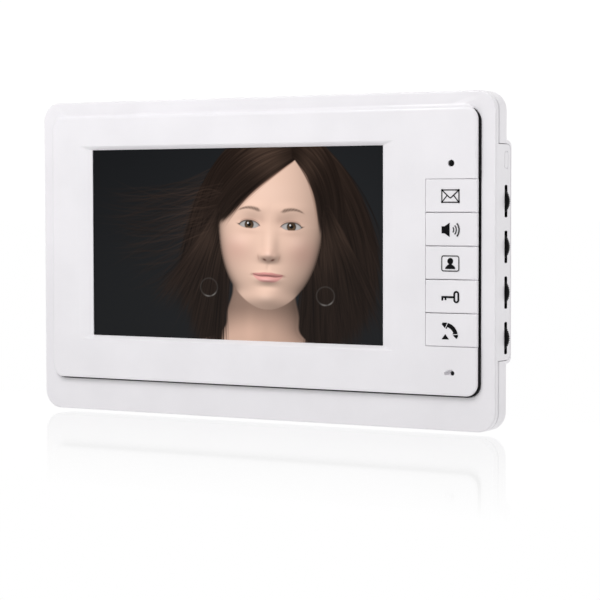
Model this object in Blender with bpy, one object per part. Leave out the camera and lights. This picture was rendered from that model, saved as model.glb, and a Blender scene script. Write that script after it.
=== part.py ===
"""Video intercom monitor for a wall: a 7-inch screen, five keys and four edge dials in a two-part case.

Metres, +Z up. The origin is the centre of the wall bracket's back face, so the wall is the plane Y = 0.
The front of the monitor looks along -Y, and a viewer in front of it sees +X on the right.
A depth here is a distance from the wall towards the viewer: depth d lies at Y = -d.
"""

import math

import bmesh
import bpy

# ---- Case ----
CASE_W = 0.2360                 # front frame, left to right
CASE_H = 0.1445                 # front frame, bottom to top
CASE_DEPTH = 0.0300             # wall to the front of the fascia
CORNER_R = 0.0085
EDGE_ROUND = 0.0012             # rolled edge of every shell
WALL = 0.0020                   # moulded wall of the shells
SIDE_WALL = 0.0022
CONTACT_GAP = 0.0003            # between pieces that touch or rest on each other
FASCIA_RAISE = 0.0026           # fascia front, forward of the frame's front
FRAME_SIDE = 0.0034             # frame's side wall, front face to parting line
COVER_LIP = 0.0081              # rear cover's rim, parting line to its flange
WALL_CLEARANCE = 0.0022         # wall to the rear cover's back
HOUSING_INSET_X = 0.0140        # rear housing, in from the case's sides
HOUSING_INSET_Z = 0.0120
HOUSING_R = 0.0070

# ---- Fascia, its gasket and the screen window ----
FASCIA_LEFT_MARGIN = 0.0063
FASCIA_RIGHT_MARGIN = 0.0074
FASCIA_TOP_MARGIN = 0.0069
FASCIA_BOTTOM_MARGIN = 0.0153
FASCIA_R = 0.0055
FASCIA_RIM = 0.0011             # thickness at its edge
FASCIA_BODY_INSET = 0.0032      # the thicker body behind the rim
FASCIA_ROUND = 0.0008
GASKET_SHIFT = 0.0005           # the gasket shows past the fascia's right and lower edges
GASKET_SEAT = 0.0005            # groove in the frame's front
ACTIVE_W = 0.15408              # picture area of the 7-inch panel
ACTIVE_H = 0.08658
WINDOW_LEFT_MARGIN = 0.0225     # fascia's left edge to the picture area
WINDOW_TOP_MARGIN = 0.0156      # fascia's top edge to the picture area
WINDOW_SPLAY_X = 0.0075         # sloping sides of the window
WINDOW_SPLAY_Z = 0.0021
WINDOW_LIP = 0.0004             # straight lip behind the slope

# ---- Screen ----
LCD_BORDER_X = 0.0054
LCD_BORDER_Z = 0.0067
LCD_T = 0.0015
BACKLIGHT_T = 0.0030
LCD_CLEARANCE = 0.0004
LCD_BRACKET_T = 0.0012
LCD_EAR = 0.0045                # screw line, out from the panel's sides
LCD_EAR_Z = 0.0400              # screw line, above and below the screen's centre
FLEX_W = 0.0300
FLEX_T = 0.0003
FLEX_DROP = 0.0012              # below the panel's lower edge

# ---- Keys ----
KEY_NAMES = ("key_message", "key_volume", "key_monitor", "key_unlock", "key_talk")
KEY_PITCH = 0.01425
KEY_MIDDLE_Z = -0.0005          # middle of the key column
KEY_GAP = 0.0003
KEY_W = 0.0246
KEY_T = 0.0014
KEY_TRAVEL = 0.0006
KEY_ROUND = 0.0003
STEM_W = 0.0120
STEM_H = 0.0060
STEM_CLEARANCE = 0.0006
TACT_W = 0.0062
TACT_BODY_T = 0.0035
TACT_BUTTON_R = 0.0017
TACT_BUTTON_T = 0.0007

# ---- Edge dials ----
DIAL_COUNT = 4
DIAL_PITCH = 0.01935
DIAL_ROW_Z = -0.00345           # middle of the row
DIAL_R = 0.0070
DIAL_T = 0.0023
DIAL_PROUD = 0.0016             # past the case's side
DIAL_BACK_SET = 0.0101          # frame front to the dials' mid-plane
DIAL_EDGE_CHAMFER = 0.0003
SPINDLE_R = 0.0014
SPINDLE_CLEARANCE = 0.0003
SLOT_CLEARANCE = 0.0007         # slot end to the dial, at the wall's inner face
POT_TAIL = 0.0085               # potentiometer body, spindle to its terminals
POT_W = 0.0058
TAB_BELOW = 0.0024              # control tab, past the lowest slot
TAB_ABOVE = 0.0171              # control tab, past the highest slot
TAB_BACK_SET = 0.0145           # frame front to the tab's rear edge
TAB_R = 0.0030
POD_WALL = 0.0022

# ---- Lamp and microphone, placed from the fascia's right edge and the key column ----
LAMP_INSET = 0.0122
LAMP_R = 0.0015
LAMP_ABOVE_KEYS = 0.0065
LAMP_PROUD = 0.0005
MIC_INSET = 0.0115
MIC_BELOW_KEYS = 0.0112
MIC_HOLE_R = 0.0005
MIC_R = 0.0030
MIC_T = 0.0022
BOOT_WALL = 0.0010

# ---- Boards ----
BOARD_T = 0.0012
KEY_BOARD_ABOVE = 0.0105        # past the key column
KEY_BOARD_BELOW = 0.0165
KEY_BOARD_SCREW_X = 0.0035      # in from the board's left edge
MAIN_BOARD_W = 0.0900
MAIN_BOARD_H = 0.0600
MAIN_BOARD_Z = -0.0020
MAIN_BOARD_STAND = 0.0042       # rear cover's floor to the board
BOARD_SCREW_INSET = 0.0050
PROCESSOR_PLACE = (0.0150, 0.0080)
PROCESSOR_W = 0.0140
PROCESSOR_T = 0.0015
CAPACITOR_PLACE = (-0.0220, 0.0060)
CAPACITOR_R = 0.0040
CAPACITOR_T = 0.0060
CAPACITOR_ROUND = 0.0005
DRIVER_W = 0.0700
DRIVER_H = 0.0400
DRIVER_STAND = 0.0025
CONNECTOR_H = 0.0070
CONNECTOR_T = 0.0033
CONNECTOR_WALL = 0.0008
CONNECTORS = (("door_connector_1", -0.0140, 0.0120), ("door_connector_2", -0.0005, 0.0120),
              ("power_connector", 0.0135, 0.0090))
PORT_W = 0.0460                 # opening in the rear cover behind the connectors
PORT_H = 0.0140
PORT_Z = -0.0190

# ---- Speaker ----
SPEAKER_R = 0.0180
SPEAKER_EDGE_X = 0.0036         # speaker's rim to the housing's inner left wall
SPEAKER_Z = -0.0300
SPEAKER_T = 0.0064
MAGNET_R = 0.0100
MAGNET_T = 0.0036
SPEAKER_GASKET_T = 0.0008
SPEAKER_RIM = 0.0022
BASKET_WALL = 0.0010
CONE_WALL = 0.0005
GRILLE_SLOT = 0.0018
GRILLE_PITCH = 0.0040
GRILLE_SLOTS = 7

# ---- Wall bracket ----
BRACKET_MARGIN = 0.0080         # hooks' centres to the bracket's ends
BRACKET_H = 0.0760
BRACKET_R = 0.0050
BRACKET_T = 0.0015
HOOK_TO_SPEAKER = 0.0015        # hook's slot in the rear cover to the speaker's rim
HOOK_BASES = (0.0180, -0.0240)  # undersides of the upper and lower hooks
HOOK_W = 0.0080
HOOK_NECK = 0.0030
HOOK_RISE = 0.0065              # tongue above the neck
HOOK_T = 0.0014
HOOK_CLEARANCE = 0.0005
CABLE_W = 0.0500
CABLE_H = 0.0190
FIXING_X = 0.0300
FIXING_Z = 0.0300
FIXING_R = 0.0024
FIXING_SLOT = 0.0090

# ---- Screws: head radius, head height, shank radius ----
CASE_SCREW = (0.0027, 0.0018, 0.0014)
SMALL_SCREW = (0.0019, 0.0012, 0.0010)
SCREW_CLEARANCE = 0.0003
BOSS_WALL = 0.0016
BOSS_ROOT = 0.0004              # how far a boss runs into the wall that it stands on
CASE_SCREW_INSET = 0.0070       # in from the case's sides, at its corners

CORNER_STEPS = 5                # straight steps in each rounded corner
OVERCUT = 0.0010                # how far a cutter runs past the face that it cuts
SMOOTH_ANGLE = math.radians(35)

# ---- Derived places ----
HALF_W, HALF_H = CASE_W / 2, CASE_H / 2
CASE_BOX = (-HALF_W, HALF_W, -HALF_H, HALF_H)
HOUSING_BOX = (-HALF_W + HOUSING_INSET_X, HALF_W - HOUSING_INSET_X,
               -HALF_H + HOUSING_INSET_Z, HALF_H - HOUSING_INSET_Z)
FASCIA_BOX = (-HALF_W + FASCIA_LEFT_MARGIN, HALF_W - FASCIA_RIGHT_MARGIN,
              -HALF_H + FASCIA_BOTTOM_MARGIN, HALF_H - FASCIA_TOP_MARGIN)

FRAME_FRONT = CASE_DEPTH - FASCIA_RAISE
FRAME_INSIDE = FRAME_FRONT - WALL
PARTING = FRAME_FRONT - FRAME_SIDE
FLANGE_BACK = PARTING - COVER_LIP
FLANGE_INSIDE = FLANGE_BACK + WALL
COVER_BACK = WALL_CLEARANCE
COVER_FLOOR = COVER_BACK + WALL

SCREEN_X = FASCIA_BOX[0] + WINDOW_LEFT_MARGIN + ACTIVE_W / 2
SCREEN_Z = FASCIA_BOX[3] - WINDOW_TOP_MARGIN - ACTIVE_H / 2
FASCIA_BACK = FRAME_FRONT + CONTACT_GAP
LCD_FRONT = FASCIA_BACK - WINDOW_LIP
LCD_HALF_W = ACTIVE_W / 2 + LCD_BORDER_X
LCD_HALF_H = ACTIVE_H / 2 + LCD_BORDER_Z
LCD_BACK = LCD_FRONT - LCD_T
BACKLIGHT_FRONT = LCD_BACK - CONTACT_GAP
BACKLIGHT_BACK = BACKLIGHT_FRONT - BACKLIGHT_T
LCD_BRACKET_FRONT = BACKLIGHT_BACK - CONTACT_GAP
LCD_BRACKET_BACK = LCD_BRACKET_FRONT - LCD_BRACKET_T
DRIVER_FRONT = LCD_BRACKET_BACK - DRIVER_STAND

KEY_RIGHT = FASCIA_BOX[1]
KEY_X = KEY_RIGHT - KEY_W / 2
KEY_TOP = KEY_MIDDLE_Z + KEY_PITCH * len(KEY_NAMES) / 2
KEY_BOTTOM = KEY_MIDDLE_Z - KEY_PITCH * len(KEY_NAMES) / 2
KEY_BACK = CASE_DEPTH - KEY_T
STEM_END = FRAME_FRONT
TACT_TOP = STEM_END - KEY_TRAVEL - CONTACT_GAP
KEY_BOARD_FRONT = TACT_TOP - TACT_BUTTON_T - TACT_BODY_T - CONTACT_GAP
KEY_BOARD_BACK = KEY_BOARD_FRONT - BOARD_T
KEY_BOARD_BOX = (KEY_RIGHT - KEY_W, HALF_W - SIDE_WALL - 2 * CONTACT_GAP,
                 KEY_BOTTOM - KEY_BOARD_BELOW, KEY_TOP + KEY_BOARD_ABOVE)

DIAL_X = HALF_W + DIAL_PROUD - DIAL_R
SLOT_LENGTH = 2 * (math.sqrt(DIAL_R ** 2 - (HALF_W - SIDE_WALL - DIAL_X) ** 2) + SLOT_CLEARANCE)
DIAL_DEPTH = FRAME_FRONT - DIAL_BACK_SET
DIAL_FRONT = DIAL_DEPTH + DIAL_T / 2
DIAL_REAR = DIAL_DEPTH - DIAL_T / 2
DIAL_CENTRES = [DIAL_ROW_Z + DIAL_PITCH * ((DIAL_COUNT - 1) / 2 - i) for i in range(DIAL_COUNT)]
TAB_BOTTOM = DIAL_CENTRES[-1] - SLOT_LENGTH / 2 - TAB_BELOW
TAB_TOP = DIAL_CENTRES[0] + SLOT_LENGTH / 2 + TAB_ABOVE
TAB_REAR = FRAME_FRONT - TAB_BACK_SET

LAMP_X = FASCIA_BOX[1] - LAMP_INSET
LAMP_Z = KEY_TOP + LAMP_ABOVE_KEYS
MIC_X = FASCIA_BOX[1] - MIC_INSET
MIC_Z = KEY_BOTTOM - MIC_BELOW_KEYS

MAIN_BOARD_BACK = COVER_FLOOR + MAIN_BOARD_STAND
MAIN_BOARD_FRONT = MAIN_BOARD_BACK + BOARD_T
SPEAKER_X = HOUSING_BOX[0] + WALL + SPEAKER_EDGE_X + SPEAKER_R
HOOK_X = -(SPEAKER_X + SPEAKER_R) - HOOK_TO_SPEAKER - HOOK_CLEARANCE - HOOK_W / 2
BRACKET_W = 2 * (HOOK_X + BRACKET_MARGIN)


# ---- Outlines, in X and Z ----
def inset(box, by):
    return (box[0] + by, box[1] - by, box[2] + by, box[3] - by)


def around(x, z, half_x, half_z):
    return (x - half_x, x + half_x, z - half_z, z + half_z)


def rounded(box, radius, steps=CORNER_STEPS):
    """A rectangle with round corners, anticlockwise from its right-hand side."""
    x0, x1, z0, z1 = box
    corners = ((x1 - radius, z1 - radius), (x0 + radius, z1 - radius),
               (x0 + radius, z0 + radius), (x1 - radius, z0 + radius))
    points = []
    for quarter, (x, z) in enumerate(corners):
        for i in range(steps + 1):
            angle = math.pi / 2 * (quarter + i / steps)
            points.append((x + radius * math.cos(angle), z + radius * math.sin(angle)))
    return points


def disc(x, z, radius, steps=CORNER_STEPS):
    """A circle with as many points as a rounded rectangle of the same steps."""
    count = 4 * (steps + 1)
    angles = [2 * math.pi * (i + 0.5) / count for i in range(count)]
    return [(x + radius * math.cos(a), z + radius * math.sin(a)) for a in angles]


def square(box):
    x0, x1, z0, z1 = box
    return [(x1, z0), (x1, z1), (x0, z1), (x0, z0)]


# ---- Solids ----
def loft(bm, rings, closed=False):
    """A solid through the rings, each an outline and its depth; a closed loft is a frame with a hole."""
    loops = [[bm.verts.new((x, -depth, z)) for x, z in outline] for outline, depth in rings]
    pairs = list(zip(loops, loops[1:]))
    if closed:
        pairs.append((loops[-1], loops[0]))
    else:
        bm.faces.new(loops[0])
        bm.faces.new(loops[-1])
    for a, b in pairs:
        for i in range(len(a)):
            j = (i + 1) % len(a)
            bm.faces.new((a[i], a[j], b[j], b[i]))


def block(bm, box, back, front):
    loft(bm, [(square(box), back), (square(box), front)])


def peg(bm, x, z, radius, back, front, steps=2):
    loft(bm, [(disc(x, z, radius, steps), back), (disc(x, z, radius, steps), front)])


def slab(bm, outline, x0, x1):
    """An outline of depths and heights, carried from x0 to x1."""
    near = [bm.verts.new((x0, -depth, z)) for depth, z in outline]
    far = [bm.verts.new((x1, -depth, z)) for depth, z in outline]
    bm.faces.new(near)
    bm.faces.new(far)
    for i in range(len(near)):
        j = (i + 1) % len(near)
        bm.faces.new((near[i], near[j], far[j], far[i]))


def mesh_object(name, build, smooth=True):
    bm = bmesh.new()
    build(bm)
    bmesh.ops.recalc_face_normals(bm, faces=bm.faces)
    mesh = bpy.data.meshes.new(name)
    bm.to_mesh(mesh)
    bm.free()
    if smooth:
        mesh.shade_smooth()
        mesh.set_sharp_from_angle(angle=SMOOTH_ANGLE)
    obj = bpy.data.objects.new(name, mesh)
    bpy.context.scene.collection.objects.link(obj)
    return obj


def material(name, colour, roughness, metallic=0.0):
    made = bpy.data.materials.new(name)
    made.use_nodes = True
    shader = made.node_tree.nodes["Principled BSDF"]
    shader.inputs["Base Color"].default_value = (*colour, 1.0)
    shader.inputs["Roughness"].default_value = roughness
    shader.inputs["Metallic"].default_value = metallic
    return made


def piece(name, build, look, adds=(), cuts=()):
    """A named piece: its base shape, then what is joined to it and what is cut from it."""
    obj = mesh_object(name, build)
    obj.data.materials.append(material(name, *look))
    steps = [("UNION", shape) for shape in adds] + [("DIFFERENCE", shape) for shape in cuts]
    for i, (operation, shape) in enumerate(steps):
        tool = mesh_object(f"{name}_tool_{i + 1}", shape, smooth=False)
        tool.hide_render = True
        tool.display_type = "WIRE"
        step = obj.modifiers.new(f"{operation.title()} {i + 1}", "BOOLEAN")
        step.operation = operation
        step.object = tool
        step.solver = "EXACT"
    return obj


def set_origin(obj, x, depth, z):
    """Put a moving piece's origin on its joint, its shape staying where it is."""
    for vertex in obj.data.vertices:
        vertex.co.x -= x
        vertex.co.y += depth
        vertex.co.z -= z
    obj.location = (x, -depth, z)


def screw(name, x, z, seat, tip, kind):
    """A screw along Y: its head is against the seat, and its shank runs to the tip."""
    head_r, head_h, shank_r = kind
    away = math.copysign(1.0, seat - tip)
    under = seat + away * CONTACT_GAP

    def build(bm):
        loft(bm, [(disc(x, z, head_r * 0.8, 2), under + away * head_h),
                  (disc(x, z, head_r, 2), under + away * head_h * 0.6),
                  (disc(x, z, head_r, 2), under),
                  (disc(x, z, shank_r, 2), under),
                  (disc(x, z, shank_r, 2), tip)])

    piece(name, build, STEEL)


WHITE = ((0.85, 0.84, 0.86), 0.32)
BLACK_RUBBER = ((0.01, 0.01, 0.01), 0.6)
BLACK_GLOSS = ((0.01, 0.01, 0.012), 0.12)
BLACK_PLASTIC = ((0.02, 0.02, 0.02), 0.45)
DISPLAY = ((0.012, 0.013, 0.015), 0.08)
STEEL = ((0.62, 0.62, 0.63), 0.35, 1.0)
ZINC_PLATE = ((0.55, 0.56, 0.58), 0.45, 1.0)
CIRCUIT_BOARD = ((0.02, 0.16, 0.06), 0.4)
CONNECTOR_WHITE = ((0.78, 0.76, 0.70), 0.45)
POLYIMIDE = ((0.45, 0.20, 0.03), 0.35)
MAGNET = ((0.10, 0.10, 0.11), 0.5, 1.0)
PAPER_CONE = ((0.03, 0.03, 0.03), 0.8)
ALUMINIUM = ((0.75, 0.75, 0.76), 0.35, 1.0)

CASE_SCREW_PLACES = [(sx * (HALF_W - CASE_SCREW_INSET), sz * (HALF_H - CASE_SCREW_INSET))
                     for sx in (-1, 1) for sz in (1, -1)]
LCD_SCREW_PLACES = [(SCREEN_X + sx * (LCD_HALF_W + LCD_EAR), SCREEN_Z + sz * LCD_EAR_Z)
                    for sx in (-1, 1) for sz in (1, -1)]
DRIVER_SCREW_PLACES = [(SCREEN_X + s * (DRIVER_W / 2 - BOARD_SCREW_INSET),
                        SCREEN_Z + s * (DRIVER_H / 2 - BOARD_SCREW_INSET)) for s in (-1, 1)]
KEY_SCREW_PLACES = [(KEY_BOARD_BOX[0] + KEY_BOARD_SCREW_X, KEY_BOARD_BOX[3] - BOARD_SCREW_INSET),
                    (KEY_BOARD_BOX[0] + KEY_BOARD_SCREW_X, KEY_BOARD_BOX[2] + BOARD_SCREW_INSET)]
MAIN_SCREW_PLACES = [(sx * (MAIN_BOARD_W / 2 - BOARD_SCREW_INSET),
                      MAIN_BOARD_Z + sz * (MAIN_BOARD_H / 2 - BOARD_SCREW_INSET))
                     for sx in (-1, 1) for sz in (1, -1)]


def bosses(places, kind, back, front):
    """Screw bosses as one joined shape."""
    radius = kind[2] + SCREW_CLEARANCE + BOSS_WALL

    def build(bm):
        for x, z in places:
            peg(bm, x, z, radius, back, front)

    return build


def screw_holes(places, kind, back, front):
    def build(bm):
        for x, z in places:
            peg(bm, x, z, kind[2] + SCREW_CLEARANCE, back, front)

    return build


# ---- Wall bracket ----
def wall_bracket():
    neck_front = COVER_FLOOR + CONTACT_GAP + HOOK_T

    def plate(bm):
        loft(bm, [(rounded((-BRACKET_W / 2, BRACKET_W / 2, -BRACKET_H / 2, BRACKET_H / 2), BRACKET_R), depth)
                  for depth in (0.0, BRACKET_T)])

    def hooks(bm):
        for x in (-HOOK_X, HOOK_X):
            for base in HOOK_BASES:
                top, tip = base + HOOK_NECK, base + HOOK_NECK + HOOK_RISE
                slab(bm, [(BRACKET_T / 2, base), (neck_front, base), (neck_front, tip),
                          (neck_front - HOOK_T, tip), (neck_front - HOOK_T, top), (BRACKET_T / 2, top)],
                     x - HOOK_W / 2, x + HOOK_W / 2)

    def holes(bm):
        cable = around(0.0, PORT_Z, CABLE_W / 2, CABLE_H / 2)
        loft(bm, [(rounded(cable, 0.002, 3), depth) for depth in (-OVERCUT, BRACKET_T + OVERCUT)])
        for x in (-FIXING_X, FIXING_X):
            for z in (-FIXING_Z, FIXING_Z):
                slot = around(x, z, FIXING_SLOT / 2, FIXING_R)
                loft(bm, [(rounded(slot, FIXING_R * 0.98, 3), depth)
                          for depth in (-OVERCUT, BRACKET_T + OVERCUT)])

    piece("wall_bracket", plate, ZINC_PLATE, adds=[hooks], cuts=[holes])


# ---- Rear cover ----
def rear_cover():
    rim = PARTING - CONTACT_GAP / 2
    pod_box = (HOUSING_BOX[1] - 2 * WALL, HALF_W, TAB_BOTTOM - POD_WALL, TAB_TOP + POD_WALL)
    pod_back = TAB_REAR - WALL

    def shell(bm):
        small = EDGE_ROUND * 0.3
        loft(bm, [(rounded(inset(HOUSING_BOX, EDGE_ROUND), HOUSING_R - EDGE_ROUND), COVER_BACK),
                  (rounded(inset(HOUSING_BOX, small), HOUSING_R - small), COVER_BACK + small),
                  (rounded(HOUSING_BOX, HOUSING_R), COVER_BACK + EDGE_ROUND),
                  (rounded(HOUSING_BOX, HOUSING_R), FLANGE_BACK),
                  (rounded(inset(CASE_BOX, EDGE_ROUND), CORNER_R - EDGE_ROUND), FLANGE_BACK),
                  (rounded(inset(CASE_BOX, small), CORNER_R - small), FLANGE_BACK + small),
                  (rounded(CASE_BOX, CORNER_R), FLANGE_BACK + EDGE_ROUND),
                  (rounded(CASE_BOX, CORNER_R), rim),
                  (rounded(inset(CASE_BOX, SIDE_WALL), CORNER_R - SIDE_WALL), rim),
                  (rounded(inset(CASE_BOX, SIDE_WALL), CORNER_R - SIDE_WALL), FLANGE_INSIDE),
                  (rounded(inset(HOUSING_BOX, WALL), HOUSING_R - WALL), FLANGE_INSIDE),
                  (rounded(inset(HOUSING_BOX, WALL), HOUSING_R - WALL), COVER_FLOOR)])

    def pod(bm):
        loft(bm, [(rounded(inset(pod_box, EDGE_ROUND), TAB_R - EDGE_ROUND, 3), pod_back),
                  (rounded(pod_box, TAB_R, 3), pod_back + EDGE_ROUND),
                  (rounded(pod_box, TAB_R, 3), FLANGE_INSIDE)])

    def pod_hollow(bm):
        inner = (pod_box[0] - WALL, HALF_W - SIDE_WALL, TAB_BOTTOM, TAB_TOP)
        block(bm, inner, pod_back + WALL, rim + OVERCUT)

    def tab_notch(bm):
        block(bm, (HALF_W - SIDE_WALL - CONTACT_GAP, HALF_W + OVERCUT,
                   TAB_BOTTOM - CONTACT_GAP, TAB_TOP + CONTACT_GAP),
              TAB_REAR - CONTACT_GAP, rim + OVERCUT)

    def back_openings(bm):
        under, over = COVER_BACK - OVERCUT, COVER_FLOOR + OVERCUT
        block(bm, around(0.0, PORT_Z, PORT_W / 2, PORT_H / 2), under, over)
        slot_h = HOOK_NECK + HOOK_RISE + 2 * HOOK_CLEARANCE
        for x in (-HOOK_X, HOOK_X):
            for base in HOOK_BASES:
                top = base + HOOK_NECK + CONTACT_GAP
                half = HOOK_W / 2 + HOOK_CLEARANCE
                block(bm, (x - half, x + half, top - slot_h, top), under, over)
        for i in range(GRILLE_SLOTS):
            offset = GRILLE_PITCH * (i - (GRILLE_SLOTS - 1) / 2)
            half = math.sqrt((SPEAKER_R - SPEAKER_RIM) ** 2 - offset ** 2)
            block(bm, around(SPEAKER_X, SPEAKER_Z + offset, half, GRILLE_SLOT / 2), under, over)

    piece("rear_cover", shell, WHITE,
          adds=[pod,
                bosses(MAIN_SCREW_PLACES, SMALL_SCREW, COVER_FLOOR - BOSS_ROOT,
                       MAIN_BOARD_BACK - CONTACT_GAP)],
          cuts=[pod_hollow, tab_notch, back_openings,
                screw_holes(MAIN_SCREW_PLACES, SMALL_SCREW, COVER_FLOOR, MAIN_BOARD_FRONT),
                screw_holes(CASE_SCREW_PLACES, CASE_SCREW, FLANGE_BACK - OVERCUT, FLANGE_INSIDE + OVERCUT)])


# ---- Front frame ----
def gasket_outlines(spread):
    """Outer and inner outline of the gasket, widened by spread for the groove that it lies in."""
    box = (FASCIA_BOX[0] + GASKET_SHIFT, FASCIA_BOX[1] + GASKET_SHIFT,
           FASCIA_BOX[2] - GASKET_SHIFT, FASCIA_BOX[3] - GASKET_SHIFT)
    outer = rounded(inset(box, -spread), FASCIA_R + spread)
    inner_r = FASCIA_R - FASCIA_BODY_INSET
    inner = rounded(inset(FASCIA_BOX, FASCIA_BODY_INSET - CONTACT_GAP + spread), inner_r)
    return outer, inner


def front_frame():
    half_w, half_h = LCD_HALF_W + LCD_CLEARANCE, LCD_HALF_H + LCD_CLEARANCE
    opening = rounded(around(SCREEN_X, SCREEN_Z, half_w, half_h), 0.001)
    edge = PARTING + CONTACT_GAP / 2
    small = EDGE_ROUND * 0.3

    def shell(bm):
        loft(bm, [(rounded(inset(CASE_BOX, EDGE_ROUND), CORNER_R - EDGE_ROUND), FRAME_FRONT),
                  (rounded(inset(CASE_BOX, small), CORNER_R - small), FRAME_FRONT - small),
                  (rounded(CASE_BOX, CORNER_R), FRAME_FRONT - EDGE_ROUND),
                  (rounded(CASE_BOX, CORNER_R), edge),
                  (rounded(inset(CASE_BOX, SIDE_WALL), CORNER_R - SIDE_WALL), edge),
                  (rounded(inset(CASE_BOX, SIDE_WALL), CORNER_R - SIDE_WALL), FRAME_INSIDE),
                  (opening, FRAME_INSIDE),
                  (opening, FRAME_FRONT)], closed=True)

    def tab(bm):
        front = FRAME_INSIDE + BOSS_ROOT
        outline = [(front, TAB_BOTTOM), (front, TAB_TOP)]
        for centre_z, start in ((TAB_TOP - TAB_R, 0), (TAB_BOTTOM + TAB_R, 1)):
            for i in range(CORNER_STEPS + 1):
                angle = math.pi / 2 * (start + i / CORNER_STEPS)
                outline.append((TAB_REAR + TAB_R - TAB_R * math.sin(angle),
                                centre_z + TAB_R * math.cos(angle)))
        slab(bm, outline, HALF_W - SIDE_WALL, HALF_W)

    def gasket_groove(bm):
        outer, inner = gasket_outlines(CONTACT_GAP)
        loft(bm, [(outer, FRAME_FRONT - GASKET_SEAT), (outer, FRAME_FRONT + OVERCUT),
                  (inner, FRAME_FRONT + OVERCUT), (inner, FRAME_FRONT - GASKET_SEAT)], closed=True)

    def front_holes(bm):
        under, over = FRAME_INSIDE - OVERCUT, FRAME_FRONT + OVERCUT
        for z in key_centres():
            block(bm, around(KEY_X, z, STEM_W / 2 + STEM_CLEARANCE, STEM_H / 2 + STEM_CLEARANCE), under, over)
        peg(bm, LAMP_X, LAMP_Z, LAMP_R + 2 * CONTACT_GAP, under, over, 4)
        peg(bm, MIC_X, MIC_Z, MIC_HOLE_R + CONTACT_GAP, under, over)

    def dial_slots(bm):
        half_t = DIAL_T / 2 + CONTACT_GAP
        for z in DIAL_CENTRES:
            slot = (HALF_W - SIDE_WALL - OVERCUT, HALF_W + OVERCUT, z - SLOT_LENGTH / 2, z + SLOT_LENGTH / 2)
            block(bm, slot, DIAL_DEPTH - half_t, DIAL_DEPTH + half_t)

    case_boss_back = FLANGE_INSIDE + CONTACT_GAP
    piece("front_frame", shell, WHITE,
          adds=[tab,
                bosses(CASE_SCREW_PLACES, CASE_SCREW, case_boss_back, FRAME_INSIDE + BOSS_ROOT),
                bosses(LCD_SCREW_PLACES, SMALL_SCREW, LCD_BRACKET_FRONT + CONTACT_GAP,
                       FRAME_INSIDE + BOSS_ROOT),
                bosses(KEY_SCREW_PLACES, SMALL_SCREW, KEY_BOARD_FRONT + CONTACT_GAP,
                       FRAME_INSIDE + BOSS_ROOT)],
          cuts=[gasket_groove, front_holes, dial_slots,
                screw_holes(CASE_SCREW_PLACES, CASE_SCREW, case_boss_back - OVERCUT, FRAME_INSIDE),
                screw_holes(LCD_SCREW_PLACES, SMALL_SCREW, LCD_BRACKET_FRONT, FRAME_INSIDE),
                screw_holes(KEY_SCREW_PLACES, SMALL_SCREW, KEY_BOARD_FRONT, FRAME_INSIDE)])


# ---- Fascia ----
def fascia_gasket():
    outer, inner = gasket_outlines(0.0)
    back = FRAME_FRONT - GASKET_SEAT + CONTACT_GAP
    front = CASE_DEPTH - FASCIA_RIM - CONTACT_GAP

    def ring(bm):
        loft(bm, [(outer, back), (outer, front), (inner, front), (inner, back)], closed=True)

    def key_relief(bm):
        block(bm, (KEY_RIGHT - KEY_W, HALF_W, KEY_BOTTOM - CONTACT_GAP, KEY_TOP + CONTACT_GAP),
              KEY_BACK - KEY_TRAVEL - CONTACT_GAP, front + OVERCUT)

    piece("fascia_gasket", ring, BLACK_RUBBER, cuts=[key_relief])


def fascia_panel():
    small = FASCIA_ROUND * 0.3
    body = rounded(inset(FASCIA_BOX, FASCIA_BODY_INSET), FASCIA_R - FASCIA_BODY_INSET)
    rim_back = CASE_DEPTH - FASCIA_RIM
    window = around(SCREEN_X, SCREEN_Z, ACTIVE_W / 2, ACTIVE_H / 2)
    mouth = around(SCREEN_X, SCREEN_Z, ACTIVE_W / 2 + WINDOW_SPLAY_X, ACTIVE_H / 2 + WINDOW_SPLAY_Z)

    def plate(bm):
        loft(bm, [(rounded(inset(FASCIA_BOX, FASCIA_ROUND), FASCIA_R - FASCIA_ROUND), CASE_DEPTH),
                  (rounded(inset(FASCIA_BOX, small), FASCIA_R - small), CASE_DEPTH - small),
                  (rounded(FASCIA_BOX, FASCIA_R), CASE_DEPTH - FASCIA_ROUND),
                  (rounded(FASCIA_BOX, FASCIA_R), rim_back),
                  (body, rim_back),
                  (body, FASCIA_BACK),
                  (rounded(window, 0.0004), FASCIA_BACK),
                  (rounded(window, 0.0004), FASCIA_BACK + WINDOW_LIP),
                  (rounded(mouth, 0.0012), CASE_DEPTH)], closed=True)

    def holes(bm):
        under, over = FASCIA_BACK - OVERCUT, CASE_DEPTH + OVERCUT
        block(bm, (KEY_RIGHT - KEY_W - KEY_GAP / 2, HALF_W + OVERCUT, KEY_BOTTOM, KEY_TOP),
              under, over)
        peg(bm, LAMP_X, LAMP_Z, LAMP_R + CONTACT_GAP, under, over, 4)
        peg(bm, MIC_X, MIC_Z, MIC_HOLE_R, under, over)

    piece("fascia_panel", plate, WHITE, cuts=[holes])


# ---- Keys and what they press ----
def key_centres():
    """Key centres from the top key down."""
    return [KEY_TOP - KEY_PITCH * (i + 0.5) for i in range(len(KEY_NAMES))]


def keys():
    half_w, half_h = (KEY_W - KEY_GAP) / 2, (KEY_PITCH - KEY_GAP) / 2
    for name, z in zip(KEY_NAMES, key_centres()):
        cap = around(KEY_X + KEY_GAP / 2, z, half_w, half_h)
        stem = around(KEY_X, z, STEM_W / 2, STEM_H / 2)

        def build(bm, cap=cap, stem=stem):
            loft(bm, [(square(inset(cap, KEY_ROUND)), CASE_DEPTH),
                      (square(cap), CASE_DEPTH - KEY_ROUND),
                      (square(cap), KEY_BACK),
                      (square(stem), KEY_BACK),
                      (square(stem), STEM_END)])

        set_origin(piece(name, build, WHITE), KEY_X, CASE_DEPTH, z)


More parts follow.
